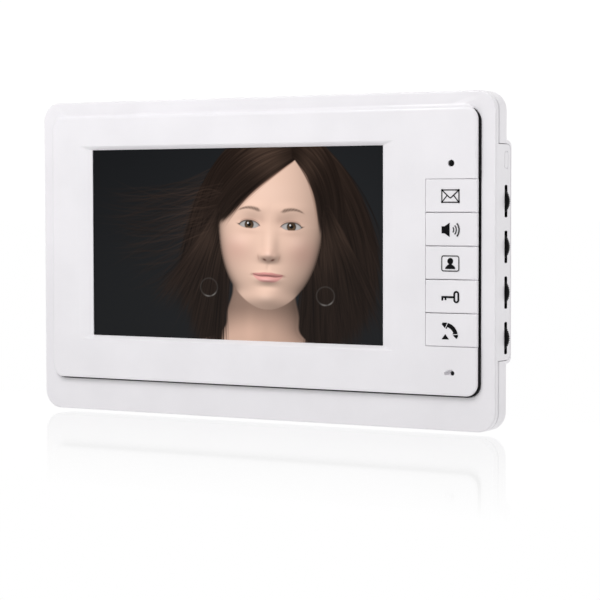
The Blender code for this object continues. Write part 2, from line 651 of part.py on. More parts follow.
def tact_switches():
    back = KEY_BOARD_FRONT + CONTACT_GAP
    for i, z in enumerate(key_centres()):
        def build(bm, z=z):
            body = rounded(around(KEY_X, z, TACT_W / 2, TACT_W / 2), 0.0005, 2)
            button = disc(KEY_X, z, TACT_BUTTON_R, 2)
            loft(bm, [(body, back), (body, back + TACT_BODY_T),
                      (button, back + TACT_BODY_T), (button, TACT_TOP)])

        piece(f"tact_switch_{i + 1}", build, BLACK_PLASTIC)


def key_board():
    def board(bm):
        block(bm, KEY_BOARD_BOX, KEY_BOARD_BACK, KEY_BOARD_FRONT)

    under, over = KEY_BOARD_BACK - OVERCUT, KEY_BOARD_FRONT + OVERCUT
    piece("key_board", board, CIRCUIT_BOARD, cuts=[screw_holes(KEY_SCREW_PLACES, SMALL_SCREW, under, over)])
    for i, (x, z) in enumerate(KEY_SCREW_PLACES):
        screw(f"key_board_screw_{i + 1}", x, z, KEY_BOARD_BACK, FRAME_INSIDE - 2 * CONTACT_GAP, SMALL_SCREW)


def status_led():
    base = KEY_BOARD_FRONT + CONTACT_GAP
    tip = CASE_DEPTH + LAMP_PROUD

    def build(bm):
        rings = [(disc(LAMP_X, LAMP_Z, LAMP_R * 1.25, 3), base),
                 (disc(LAMP_X, LAMP_Z, LAMP_R * 1.25, 3), base + LAMP_R),
                 (disc(LAMP_X, LAMP_Z, LAMP_R, 3), base + LAMP_R)]
        for angle in (0, 30, 55, 75):
            a = math.radians(angle)
            rings.append((disc(LAMP_X, LAMP_Z, LAMP_R * math.cos(a), 3),
                          tip - LAMP_R + LAMP_R * math.sin(a)))
        loft(bm, rings)

    piece("status_led", build, BLACK_GLOSS)


def microphone():
    back = KEY_BOARD_FRONT + CONTACT_GAP
    front = FRAME_INSIDE - CONTACT_GAP
    bore = MIC_R + CONTACT_GAP

    def capsule(bm):
        loft(bm, [(disc(MIC_X, MIC_Z, MIC_R, 3), back), (disc(MIC_X, MIC_Z, MIC_R, 3), back + MIC_T)])

    def boot(bm):
        outer, inner = disc(MIC_X, MIC_Z, bore + BOOT_WALL, 3), disc(MIC_X, MIC_Z, bore, 3)
        pinhole = disc(MIC_X, MIC_Z, MIC_HOLE_R + CONTACT_GAP, 3)
        face = back + MIC_T + CONTACT_GAP
        loft(bm, [(outer, back), (outer, front), (pinhole, front), (pinhole, face),
                  (inner, face), (inner, back)], closed=True)

    piece("microphone", capsule, ALUMINIUM)
    piece("microphone_boot", boot, BLACK_RUBBER)


# ---- Edge dials ----
def dials():
    for i, z in enumerate(DIAL_CENTRES):
        def wheel(bm, z=z):
            steps = 5
            rim, land = DIAL_R, DIAL_R - DIAL_EDGE_CHAMFER
            bore = SPINDLE_R + SPINDLE_CLEARANCE
            loft(bm, [(disc(DIAL_X, z, land, steps), DIAL_REAR),
                      (disc(DIAL_X, z, rim, steps), DIAL_REAR + DIAL_EDGE_CHAMFER),
                      (disc(DIAL_X, z, rim, steps), DIAL_FRONT - DIAL_EDGE_CHAMFER),
                      (disc(DIAL_X, z, land, steps), DIAL_FRONT),
                      (disc(DIAL_X, z, bore, steps), DIAL_FRONT),
                      (disc(DIAL_X, z, bore, steps), DIAL_REAR)], closed=True)

        def potentiometer(bm, z=z):
            body = rounded((DIAL_X - POT_TAIL, DIAL_X + POT_W / 2, z - POT_W / 2, z + POT_W / 2), 0.0008, 3)
            spindle = disc(DIAL_X, z, SPINDLE_R, 3)
            shoulder = DIAL_FRONT + CONTACT_GAP
            loft(bm, [(body, KEY_BOARD_BACK - CONTACT_GAP), (body, shoulder),
                      (spindle, shoulder), (spindle, DIAL_REAR - CONTACT_GAP)])

        set_origin(piece(f"thumbwheel_{i + 1}", wheel, BLACK_PLASTIC), DIAL_X, DIAL_DEPTH, z)
        piece(f"potentiometer_{i + 1}", potentiometer, BLACK_PLASTIC)


# ---- Screen ----
def screen():
    panel = around(SCREEN_X, SCREEN_Z, LCD_HALF_W, LCD_HALF_H)

    def glass(bm):
        loft(bm, [(rounded(panel, 0.0006, 1), depth) for depth in (LCD_BACK, LCD_FRONT)])

    def backlight(bm):
        loft(bm, [(rounded(panel, 0.0008, 1), depth) for depth in (BACKLIGHT_BACK, BACKLIGHT_FRONT)])

    def bracket(bm):
        half_w = LCD_HALF_W + LCD_EAR + SMALL_SCREW[0] + BOSS_WALL
        half_h = LCD_EAR_Z + SMALL_SCREW[0] + BOSS_WALL
        loft(bm, [(rounded(around(SCREEN_X, SCREEN_Z, half_w, half_h), 0.003, 2), depth)
                  for depth in (LCD_BRACKET_BACK, LCD_BRACKET_FRONT)])

    def flex(bm):
        low = SCREEN_Z - LCD_HALF_H - FLEX_DROP
        rear = (LCD_BRACKET_BACK + DRIVER_FRONT) / 2
        start, end = FRAME_INSIDE - CONTACT_GAP, SCREEN_Z - DRIVER_H / 4
        slab(bm, [(start, low), (start, low - FLEX_T), (rear - FLEX_T, low - FLEX_T),
                  (rear - FLEX_T, end), (rear, end), (rear, low)],
             SCREEN_X - FLEX_W / 2, SCREEN_X + FLEX_W / 2)

    def driver(bm):
        block(bm, around(SCREEN_X, SCREEN_Z, DRIVER_W / 2, DRIVER_H / 2),
              DRIVER_FRONT - BOARD_T, DRIVER_FRONT)

    piece("lcd_panel", glass, DISPLAY)
    piece("lcd_backlight", backlight, ALUMINIUM)
    piece("lcd_bracket", bracket, ZINC_PLATE,
          adds=[bosses(DRIVER_SCREW_PLACES, SMALL_SCREW, DRIVER_FRONT + CONTACT_GAP,
                       LCD_BRACKET_BACK + BOSS_ROOT)],
          cuts=[screw_holes(LCD_SCREW_PLACES, SMALL_SCREW, LCD_BRACKET_BACK - OVERCUT,
                            LCD_BRACKET_FRONT + OVERCUT),
                screw_holes(DRIVER_SCREW_PLACES, SMALL_SCREW, DRIVER_FRONT, LCD_BRACKET_FRONT + OVERCUT)])
    piece("lcd_flex", flex, POLYIMIDE)
    piece("driver_board", driver, CIRCUIT_BOARD,
          cuts=[screw_holes(DRIVER_SCREW_PLACES, SMALL_SCREW, DRIVER_FRONT - BOARD_T - OVERCUT,
                            DRIVER_FRONT + OVERCUT)])
    for i, (x, z) in enumerate(LCD_SCREW_PLACES):
        screw(f"lcd_screw_{i + 1}", x, z, LCD_BRACKET_BACK, FRAME_INSIDE - 2 * CONTACT_GAP, SMALL_SCREW)
    for i, (x, z) in enumerate(DRIVER_SCREW_PLACES):
        screw(f"driver_screw_{i + 1}", x, z, DRIVER_FRONT - BOARD_T, LCD_BRACKET_FRONT - CONTACT_GAP,
              SMALL_SCREW)


# ---- Main board ----
def main_board():
    box = around(0.0, MAIN_BOARD_Z, MAIN_BOARD_W / 2, MAIN_BOARD_H / 2)

    def board(bm):
        block(bm, box, MAIN_BOARD_BACK, MAIN_BOARD_FRONT)

    def processor(bm):
        base = MAIN_BOARD_FRONT + CONTACT_GAP
        block(bm, around(*PROCESSOR_PLACE, PROCESSOR_W / 2, PROCESSOR_W / 2), base, base + PROCESSOR_T)

    def capacitor(bm):
        base = MAIN_BOARD_FRONT + CONTACT_GAP
        can = disc(*CAPACITOR_PLACE, CAPACITOR_R, 3)
        crown = disc(*CAPACITOR_PLACE, CAPACITOR_R - CAPACITOR_ROUND, 3)
        loft(bm, [(can, base), (can, base + CAPACITOR_T - CAPACITOR_ROUND), (crown, base + CAPACITOR_T)])

    piece("main_board", board, CIRCUIT_BOARD,
          cuts=[screw_holes(MAIN_SCREW_PLACES, SMALL_SCREW, MAIN_BOARD_BACK - OVERCUT,
                            MAIN_BOARD_FRONT + OVERCUT)])
    piece("processor_chip", processor, BLACK_PLASTIC)
    piece("filter_capacitor", capacitor, ALUMINIUM)
    for i, (x, z) in enumerate(MAIN_SCREW_PLACES):
        screw(f"main_board_screw_{i + 1}", x, z, MAIN_BOARD_FRONT, COVER_FLOOR + CONTACT_GAP, SMALL_SCREW)

    for name, x, width in CONNECTORS:
        front = MAIN_BOARD_BACK - CONTACT_GAP
        body = around(x, PORT_Z, width / 2, CONNECTOR_H / 2)

        def connector(bm, body=body, front=front):
            mouth = square(inset(body, CONNECTOR_WALL))
            floor = front - CONNECTOR_WALL
            loft(bm, [(square(body), front), (square(body), front - CONNECTOR_T),
                      (mouth, front - CONNECTOR_T), (mouth, floor)])

        piece(name, connector, CONNECTOR_WHITE)


# ---- Speaker ----
def speaker():
    gasket_back = COVER_FLOOR + CONTACT_GAP
    basket_back = gasket_back + SPEAKER_GASKET_T + CONTACT_GAP
    basket_front = basket_back + SPEAKER_T
    steps = 5
    outer = disc(SPEAKER_X, SPEAKER_Z, SPEAKER_R, steps)
    inner = disc(SPEAKER_X, SPEAKER_Z, SPEAKER_R - SPEAKER_RIM, steps)
    seat = disc(SPEAKER_X, SPEAKER_Z, MAGNET_R, steps)

    def ring(bm):
        loft(bm, [(outer, gasket_back), (outer, gasket_back + SPEAKER_GASKET_T),
                  (inner, gasket_back + SPEAKER_GASKET_T), (inner, gasket_back)], closed=True)

    def basket(bm):
        throat = disc(SPEAKER_X, SPEAKER_Z, MAGNET_R * 0.5, steps)
        seat_inner = disc(SPEAKER_X, SPEAKER_Z, MAGNET_R - BASKET_WALL, steps)
        loft(bm, [(outer, basket_back), (outer, basket_back + BASKET_WALL), (seat, basket_front),
                  (throat, basket_front), (throat, basket_front - BASKET_WALL),
                  (seat_inner, basket_front - BASKET_WALL), (inner, basket_back + BASKET_WALL),
                  (inner, basket_back)], closed=True)

    def magnet(bm):
        loft(bm, [(seat, basket_front + CONTACT_GAP), (seat, basket_front + CONTACT_GAP + MAGNET_T)])

    def cone(bm):
        edge = disc(SPEAKER_X, SPEAKER_Z, SPEAKER_R - SPEAKER_RIM - 2 * CONTACT_GAP, steps)
        throat = disc(SPEAKER_X, SPEAKER_Z, MAGNET_R * 0.4, steps)
        deep = basket_back + SPEAKER_T / 2
        loft(bm, [(edge, basket_back), (edge, basket_back + CONE_WALL),
                  (throat, deep), (throat, deep - CONE_WALL)])

    piece("speaker_gasket", ring, BLACK_RUBBER)
    piece("speaker_basket", basket, ZINC_PLATE)
    piece("speaker_magnet", magnet, MAGNET)
    piece("speaker_cone", cone, PAPER_CONE)


def case_screws():
    for i, (x, z) in enumerate(CASE_SCREW_PLACES):
        screw(f"case_screw_{i + 1}", x, z, FLANGE_BACK, FRAME_INSIDE - 2 * CONTACT_GAP, CASE_SCREW)


def main():
    for old in list(bpy.data.objects):
        bpy.data.objects.remove(old)
    wall_bracket()
    rear_cover()
    front_frame()
    fascia_gasket()
    fascia_panel()
    keys()
    tact_switches()
    key_board()
    status_led()
    microphone()
    dials()
    screen()
    main_board()
    speaker()
    case_screws()


main()
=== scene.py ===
"""Looks of the wall-mounted video intercom monitor: shells, keys, dials, screen picture, light and camera.

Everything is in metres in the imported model's frame: the wall is the plane Y = 0 and the viewer is at -Y.
A depth is a distance from the wall towards the viewer: depth d lies at Y = -d.
"""

import math

import bmesh
import bpy
import numpy as np
from mathutils import Matrix, Vector


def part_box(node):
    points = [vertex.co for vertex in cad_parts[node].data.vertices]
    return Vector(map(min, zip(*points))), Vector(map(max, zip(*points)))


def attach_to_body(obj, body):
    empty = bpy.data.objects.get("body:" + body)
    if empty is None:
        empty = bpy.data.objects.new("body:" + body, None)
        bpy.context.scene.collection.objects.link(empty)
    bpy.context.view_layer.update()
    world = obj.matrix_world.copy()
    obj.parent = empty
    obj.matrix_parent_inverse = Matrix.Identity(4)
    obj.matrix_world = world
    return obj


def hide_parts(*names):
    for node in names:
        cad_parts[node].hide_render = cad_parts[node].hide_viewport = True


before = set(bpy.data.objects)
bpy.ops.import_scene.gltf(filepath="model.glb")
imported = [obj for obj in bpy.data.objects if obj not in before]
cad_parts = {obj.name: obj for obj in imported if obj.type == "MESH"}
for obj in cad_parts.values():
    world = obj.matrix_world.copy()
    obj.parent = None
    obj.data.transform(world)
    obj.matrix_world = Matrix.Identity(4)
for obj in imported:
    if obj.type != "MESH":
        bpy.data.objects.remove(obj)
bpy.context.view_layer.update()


# ---- Places taken from the frame ----
def span(node):
    """Left, right, bottom, top, back depth and front depth of a CAD node."""
    low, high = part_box(node)
    return low.x, high.x, low.z, high.z, -high.y, -low.y


def middle(node):
    x0, x1, z0, z1 = span(node)[:4]
    return (x0 + x1) / 2, (z0 + z1) / 2


def middles(prefix, count):
    return [middle(f"{prefix}_{i}") for i in range(1, count + 1)]


CASE = span("front_frame")
FASCIA = span("fascia_panel")
COVER = span("rear_cover")
LCD = span("lcd_panel")
GASKET = span("fascia_gasket")
KEY_NODES = ("key_message", "key_volume", "key_monitor", "key_unlock", "key_talk")
KEYS = {name: span(name) for name in KEY_NODES}
DIAL_NODES = [f"thumbwheel_{i}" for i in range(1, 5)]
DIAL_BACK, DIAL_FRONT = span(DIAL_NODES[0])[4:]
DIAL_DEPTH = (DIAL_BACK + DIAL_FRONT) / 2
DIAL_Z = [middle(name)[1] for name in DIAL_NODES]
MIC_X, MIC_Z = middle("microphone")
LAMP_X, LAMP_Z = middle("status_led")
SCREEN_X, SCREEN_Z = middle("lcd_panel")
PORT_Z = middle("door_connector_1")[1]
CASE_SCREWS = middles("case_screw", 4)
LCD_SCREWS = middles("lcd_screw", 4)
KEY_SCREWS = middles("key_board_screw", 2)
MAIN_SCREWS = middles("main_board_screw", 4)
FACE = FASCIA[5]                # depth of the fascia's front
FRAME_FACE = CASE[5]            # depth of the front frame's front

# ---- Sizes of the shells' details ----
GAP = 0.0003                    # kept between neighbouring pieces
PAST = 0.001                    # how far a cutter reaches past what it cuts
OVERLAP = 0.0004                # how far joined shapes reach into each other
PARTING_GAP = 0.0008            # between the front frame and the rear cover
PARTING_BEVEL = 0.0003
PARTING = COVER[5] + PARTING_GAP / 2
CORNER_R = 0.0085
SIDE_WALL, WALL = 0.0022, 0.0020
EDGE = 0.0012                   # rolled edge of the rear cover
FRONT_EDGE = 0.0008             # rolled edge of the front frame
ROLL_W, ROLL_D = 0.0015, 0.0008  # the fascia's edge rolls over this far inwards and this far back
RIM_T = 0.0011                  # thickness of the fascia's rim
BODY_INSET = 0.0032             # the fascia's body lies this far inside its rim
FASCIA_R = 0.0055
ACTIVE_W, ACTIVE_H = 0.15408, 0.08658
SPLAY_X, SPLAY_Z = 0.0075, 0.0021  # how far the window's sides open out
WINDOW_LIP, WINDOW_R = 0.0004, 0.0003
LAMP_R = 0.0013
VOICE_R = 0.0010                # microphone hole
KEY_GAP = 0.00015               # between the keys and the fascia above and below them
KEY_SIDE_GAP = 0.00008          # and on their left
SKIRT = 0.0016                  # fillet from the frame's face up to the fascia's upper and left edges
FLANGE_DEPTH = 0.0159
HOUSING_INSET_X, HOUSING_INSET_Z, HOUSING_R = 0.0140, 0.0120, 0.0070
TAB_R = 0.0030
SLOT_LENGTH, SLOT_W, SLOT_END_R = 0.01385, 0.0029, 0.0005
TAB_BOTTOM = DIAL_Z[-1] - SLOT_LENGTH / 2 - 0.0024
TAB_TOP = DIAL_Z[0] + SLOT_LENGTH / 2 + 0.0171
BOSS_WALL, CASE_HOLE_R, SMALL_HOLE_R = 0.0016, 0.0017, 0.0013
GRILLE_SLITS, GRILLE_PITCH, GRILLE_R = 7, 0.0040, 0.0158
SIGN_SHIFT, SIGN_DROP = -0.0004, 0.00025  # the signs sit left of the caps' centres and a little below
PRINT, PRINT_SUNK, PRINT_LAYER = 0.00003, 0.00005, 0.000002  # print's height, depth in the cap, step
HOOK_X = span("wall_bracket")[1] - 0.0080
HOOKS = [(x, base) for x in (-HOOK_X, HOOK_X) for base in (0.0180, -0.0240)]
HOOK_W, HOOK_NECK, HOOK_RISE, HOOK_T = 0.0080, 0.0030, 0.0065, 0.0014


# ---- Outlines ----
def rounded(box, radius, steps=10):
    """A rectangle (left, right, bottom, top) with round corners, anticlockwise from its right-hand side."""
    x0, x1, z0, z1 = box
    corners = ((x1 - radius, z1 - radius), (x0 + radius, z1 - radius),
               (x0 + radius, z0 + radius), (x1 - radius, z0 + radius))
    points = []
    for quarter, (x, z) in enumerate(corners):
        for i in range(steps + 1):
            angle = math.pi / 2 * (quarter + i / steps)
            points.append((x + radius * math.cos(angle), z + radius * math.sin(angle)))
    return points


def arc(x, z, radius, start, end, steps):
    angles = [math.radians(start + (end - start) * i / steps) for i in range(steps + 1)]
    return [(x + radius * math.cos(a), z + radius * math.sin(a)) for a in angles]


def square(box):
    x0, x1, z0, z1 = box
    return [(x1, z0), (x1, z1), (x0, z1), (x0, z0)]


def disc(x, z, radius, count=24):
    angles = [2 * math.pi * (i + 0.5) / count for i in range(count)]
    return [(x + radius * math.cos(a), z + radius * math.sin(a)) for a in angles]


def inset(box, by, by_z=None):
    by_z = by if by_z is None else by_z
    return (box[0] + by, box[1] - by, box[2] + by_z, box[3] - by_z)


def inset_round(box, radius, by):
    """The outline of a rounded box, moved in by an even distance."""
    return rounded(inset(box, by), radius - by)


def around(x, z, half_x, half_z):
    return (x - half_x, x + half_x, z - half_z, z + half_z)


def roll(width, drop, steps=6):
    """A quarter ellipse as (inset, drop) pairs, from the flat face to the side wall."""
    turns = [math.pi / 2 * i / steps for i in range(steps + 1)]
    return [(width * (1 - math.sin(a)), drop * (1 - math.cos(a))) for a in turns]


def slot_outline(z, shrink=0.0):
    """A dial slot's outline as (depth, height) points."""
    half, side = SLOT_LENGTH / 2 - shrink, SLOT_W / 2 - shrink
    turns = [(s, start + math.pi * i / 8) for s, start in ((1, 0.0), (-1, math.pi)) for i in range(9)]
    return [(DIAL_DEPTH + side * math.cos(a), z + s * (half - SLOT_END_R) + SLOT_END_R * math.sin(a))
            for s, a in turns]


def tab_outline(back, front, past=0.0):
    """The control tab's outline as (depth, height) points, or its notch's with a gap past the tab."""
    points = [(front, TAB_BOTTOM - past), (front, TAB_TOP + past)]
    reach = TAB_R + past
    for centre, start in ((TAB_TOP - TAB_R, 0), (TAB_BOTTOM + TAB_R, 1)):
        for i in range(11):
            angle = math.pi / 2 * (start + i / 10)
            points.append((back + reach * (1 - math.sin(angle)), centre + reach * math.cos(angle)))
    return points


# ---- Mesh tools ----
def band(bm, a, b):
    """Faces between two loops of vertices."""
    for i in range(len(a)):
        j = (i + 1) % len(a)
        bm.faces.new((a[i], a[j], b[j], b[i]))


def skin_over(bm, loops, closed):
    """A solid through loops of vertices: capped, or closed into a frame with a hole."""
    pairs = list(zip(loops, loops[1:]))
    if closed:
        pairs.append((loops[-1], loops[0]))
    else:
        bm.faces.new(loops[0])
        bm.faces.new(loops[-1])
    for a, b in pairs:
        band(bm, a, b)


def loft(bm, rings, closed=False):
    """A solid through rings of (outline, depth)."""
    skin_over(bm, [[bm.verts.new((x, -depth, z)) for x, z in outline] for outline, depth in rings], closed)


def loft_across(bm, rings, closed=False):
    """A solid through rings of (outline of depth and height, place from left to right)."""
    skin_over(bm, [[bm.verts.new((x, -depth, z)) for depth, z in outline] for outline, x in rings], closed)


def prism(bm, outline, back, front):
    loft(bm, [(outline, back), (outline, front)])


def prisms(outlines, back, front):
    """A builder of solids with these outlines between two depths."""
    def build(bm):
        for outline in outlines:
            prism(bm, outline, back, front)

    return build


def bars(outlines, x0, x1):
    """A builder of solids with these outlines of depth and height, carried from x0 to x1."""
    def build(bm):
        for outline in outlines:
            loft_across(bm, [(outline, x0), (outline, x1)])

    return build


def to_object(name, bm):
    bmesh.ops.recalc_face_normals(bm, faces=bm.faces)
    mesh = bpy.data.meshes.new(name)
    bm.to_mesh(mesh)
    bm.free()
    obj = bpy.data.objects.new(name, mesh)
    bpy.context.scene.collection.objects.link(obj)
    return obj


def raw(name, build):
    bm = bmesh.new()
    build(bm)
    return to_object(name, bm)


def bake(obj):
    """Make the modified shape the object's own mesh."""
    graph = bpy.context.evaluated_depsgraph_get()
    mesh = bpy.data.meshes.new_from_object(obj.evaluated_get(graph))
    obj.modifiers.clear()
    obj.data = mesh


def carve(obj, shape, operation="DIFFERENCE"):
    tool = raw("tool", shape)
    step = obj.modifiers.new("carve", "BOOLEAN")
    step.operation = operation
    step.object = tool
    step.solver = "EXACT"
    bake(obj)
    bpy.data.objects.remove(tool)


def soften(obj, width):
    """Round the sharp edges."""
    step = obj.modifiers.new("soften", "BEVEL")
    step.width = width
    step.segments = 2
    step.limit_method = "ANGLE"
    step.angle_limit = math.radians(50)
    bake(obj)


def attach(obj, look, body):
    obj.data.materials.clear()
    obj.data.materials.append(look)
    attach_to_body(obj, body)


def finish_piece(obj, look, body, replaces=()):
    obj.data.shade_smooth()
    obj.data.set_sharp_from_angle(angle=math.radians(32))
    flat = obj.modifiers.new("flat faces", "WEIGHTED_NORMAL")
    flat.keep_sharp = True
    flat.weight = 90
    attach(obj, look, body)
    if replaces:
        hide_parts(*replaces)


# ---- Materials ----
def new_material(name):
    made = bpy.data.materials.new(name)
    made.use_nodes = True
    return made, made.node_tree.nodes, made.node_tree.links, made.node_tree.nodes["Principled BSDF"]


def fill(node, **values):
    """Set a node's inputs; an underscore in a name stands for a space."""
    for name, value in values.items():
        node.inputs[name.replace("_", " ")].default_value = value
    return node


def add_noise(nodes, links, scale, detail, roughness=0.5, stretch=None):
    place = nodes.new("ShaderNodeTexCoord").outputs["Object"]
    if stretch:
        mapping = fill(nodes.new("ShaderNodeMapping"), Scale=stretch)
        links.new(place, mapping.inputs["Vector"])
        place = mapping.outputs["Vector"]
    noise = fill(nodes.new("ShaderNodeTexNoise"), Scale=scale, Detail=detail, Roughness=roughness)
    links.new(place, noise.inputs["Vector"])
    return noise.outputs["Fac"]


def add_ramp(nodes, links, source, stops):
    ramp = nodes.new("ShaderNodeValToRGB")
    marks = ramp.color_ramp.elements
    for mark, (position, colour) in ((marks[0], stops[0]), (marks[-1], stops[-1])):
        mark.position = position
        mark.color = (*colour, 1)
    for position, colour in stops[1:-1]:
        marks.new(position).color = (*colour, 1)
    links.new(source, ramp.inputs["Fac"])
    return ramp.outputs["Color"]


def add_range(nodes, links, source, low, high, from_low=0.3, from_high=0.7):
    spread = fill(nodes.new("ShaderNodeMapRange"), From_Min=from_low, From_Max=from_high,
                  To_Min=low, To_Max=high)
    links.new(source, spread.inputs["Value"])
    return spread.outputs["Result"]


def add_bump(nodes, links, source, shader, strength, distance):
    bump = fill(nodes.new("ShaderNodeBump"), Strength=strength, Distance=distance)
    links.new(source, bump.inputs["Height"])
    links.new(bump.outputs["Normal"], shader.inputs["Normal"])


def moulded(name, colour, roughness, grain=2600.0, depth=0.00001, drift=0.02, specular=0.5):
    """Moulded plastic or rubber: fine spark-eroded grain, faint drift of tone and gloss."""
    made, nodes, links, shader = new_material(name)
    fill(shader, Specular_IOR_Level=specular)
    broad = add_noise(nodes, links, 38.0, 3.0)
    dark = tuple(c * (1 - drift) for c in colour)
    bright = tuple(min(1.0, c * (1 + drift)) for c in colour)
    tone = add_ramp(nodes, links, broad, ((0.35, dark), (0.65, bright)))
    links.new(tone, shader.inputs["Base Color"])
    fine = add_noise(nodes, links, grain, 2.0, 0.6)
    gloss = add_range(nodes, links, fine, roughness * 0.88, roughness * 1.12)
    links.new(gloss, shader.inputs["Roughness"])
    add_bump(nodes, links, fine, shader, 0.35, depth)
    return made


def brushed(name, colour, roughness, stretch=(1.0, 1.0, 30.0)):
    """Metal sheet with a fine rolled grain and slight clouding."""
    made, nodes, links, shader = new_material(name)
    fill(shader, Metallic=1.0)
    grain = add_noise(nodes, links, 260.0, 4.0, stretch=stretch)
    cloud = add_noise(nodes, links, 90.0, 3.0)
    tone = add_ramp(nodes, links, cloud, ((0.35, tuple(c * 0.9 for c in colour)), (0.65, colour)))
    links.new(tone, shader.inputs["Base Color"])
    gloss = add_range(nodes, links, grain, roughness * 0.75, roughness * 1.25)
    links.new(gloss, shader.inputs["Roughness"])
    add_bump(nodes, links, grain, shader, 0.25, 0.00001)
    return made


def circuit(name):
    """Solder mask over fine copper tracks."""
    made, nodes, links, shader = new_material(name)
    place = nodes.new("ShaderNodeTexCoord")
    cells = fill(nodes.new("ShaderNodeTexVoronoi"), Scale=260.0)
    cells.distance = "MANHATTAN"
    links.new(place.outputs["Object"], cells.inputs["Vector"])
    stops = ((0.30, (0.012, 0.12, 0.045)), (0.50, (0.016, 0.17, 0.065)), (0.75, (0.008, 0.085, 0.03)))
    tracks = add_ramp(nodes, links, cells.outputs["Distance"], stops)
    links.new(tracks, shader.inputs["Base Color"])
    fill(shader, Roughness=0.35)
    add_bump(nodes, links, cells.outputs["Distance"], shader, 0.2, 0.00003)
    return made


WHITE = moulded("white ABS", (0.860, 0.842, 0.870), 0.34)
WHITE_KEY = moulded("white key ABS", (0.860, 0.842, 0.870), 0.32)
RUBBER = moulded("black sponge rubber", (0.006, 0.006, 0.007), 0.75, 1500.0, 0.00003, 0.2, 0.15)
DIAL_BLACK = moulded("black dial plastic", (0.004, 0.004, 0.0045), 0.6, 1800.0, 0.00002, 0.15, 0.1)
EPOXY_BLACK = moulded("black moulded epoxy", (0.02, 0.02, 0.022), 0.55, 1800.0, 0.00002, 0.15)
LAMP_BLACK = moulded("smoked lamp epoxy", (0.002, 0.002, 0.0024), 0.14, 900.0, 0.000001, 0.1, 0.10)
INK = moulded("black print", (0.004, 0.004, 0.005), 0.6, 3000.0, 0.000005, 0.25, 0.08)
INK_GREY = moulded("thin black print", (0.03, 0.03, 0.032), 0.6, 3000.0, 0.000005, 0.25, 0.1)
NYLON = moulded("natural nylon", (0.66, 0.64, 0.57), 0.45, 1800.0, 0.00001, 0.04)
DISPLAY_BLACK = moulded("unlit display border", (0.004, 0.004, 0.005), 0.10, 900.0, 0.000001, 0.1)
POLYIMIDE = moulded("polyimide film", (0.32, 0.13, 0.02), 0.25, 600.0, 0.000005, 0.15)
PAPER = moulded("treated paper cone", (0.02, 0.02, 0.02), 0.85, 1200.0, 0.00005, 0.3, 0.1)
FERRITE = moulded("sintered ferrite", (0.03, 0.03, 0.032), 0.6, 2200.0, 0.00003, 0.2)
ZINC = brushed("zinc plate", (0.56, 0.57, 0.59), 0.38)
NICKEL = brushed("nickel plate", (0.66, 0.65, 0.63), 0.28, (1.0, 8.0, 1.0))
ALUMINIUM = brushed("aluminium", (0.72, 0.72, 0.73), 0.30, (30.0, 1.0, 1.0))
TIN = brushed("tinned pin", (0.70, 0.68, 0.62), 0.25)
BOARD = circuit("solder mask")


# ---- Fascia ----
def fascia():
    outline = FASCIA[:4]
    back = FASCIA[4]
    lip = back + WINDOW_LIP
    window = around(SCREEN_X, SCREEN_Z, ACTIVE_W / 2, ACTIVE_H / 2)
    body = inset_round(outline, FASCIA_R, BODY_INSET)
    slope_steps = 10

    def plate(bm):
        rings = [(rounded(inset(outline, by), FASCIA_R - by * 0.6), FACE - drop)
                 for by, drop in roll(ROLL_W, ROLL_D, 7)]
        rings += [(rounded(outline, FASCIA_R), FACE - RIM_T), (body, FACE - RIM_T), (body, back),
                  (rounded(window, WINDOW_R), back)]
        for i in range(slope_steps + 1):
            t = i / slope_steps
            opened = inset(window, -SPLAY_X * t, -SPLAY_Z * t)
            rings.append((rounded(opened, WINDOW_R + 0.0012 * t), lip + (FACE - lip) * (1 - (1 - t) ** 1.5)))
        loft(bm, rings, closed=True)

    def lamp_hole(bm):
        radius = LAMP_R + 0.0001
        loft(bm, [(disc(LAMP_X, LAMP_Z, radius), back - PAST), (disc(LAMP_X, LAMP_Z, radius), FACE - 0.0002),
                  (disc(LAMP_X, LAMP_Z, radius + 0.0002), FACE + 0.0002)])

    def scoop(bm):
        turn = Matrix.Rotation(math.radians(-20), 4, "Y")
        place = Matrix.Translation((MIC_X - 0.0018, -FACE - 0.00005, MIC_Z + 0.0003))
        bmesh.ops.create_uvsphere(bm, u_segments=40, v_segments=24, radius=1.0,
                                  matrix=place @ turn @ Matrix.Diagonal((0.0023, 0.0020, 0.00105, 1.0)))

    first, last = KEYS[KEY_NODES[0]], KEYS[KEY_NODES[-1]]
    key_bay = square((first[0] - KEY_SIDE_GAP, CASE[1], last[2] - KEY_GAP, first[3] + KEY_GAP))
    obj = raw("fascia_plate", plate)
    for shape in (prisms([key_bay], back - PAST, FACE + PAST), lamp_hole,
                  prisms([disc(MIC_X, MIC_Z, VOICE_R)], back - PAST, FACE + 0.0002), scoop):
        carve(obj, shape)
    finish_piece(obj, WHITE, "monitor", ["fascia_panel"])


# ---- Front frame ----
def add_bosses(obj, places, hole_r, back, front):
    carve(obj, prisms([disc(x, z, hole_r + BOSS_WALL) for x, z in places], back, front), "UNION")
    carve(obj, prisms([disc(x, z, hole_r) for x, z in places], back - 0.0005, front - OVERLAP))


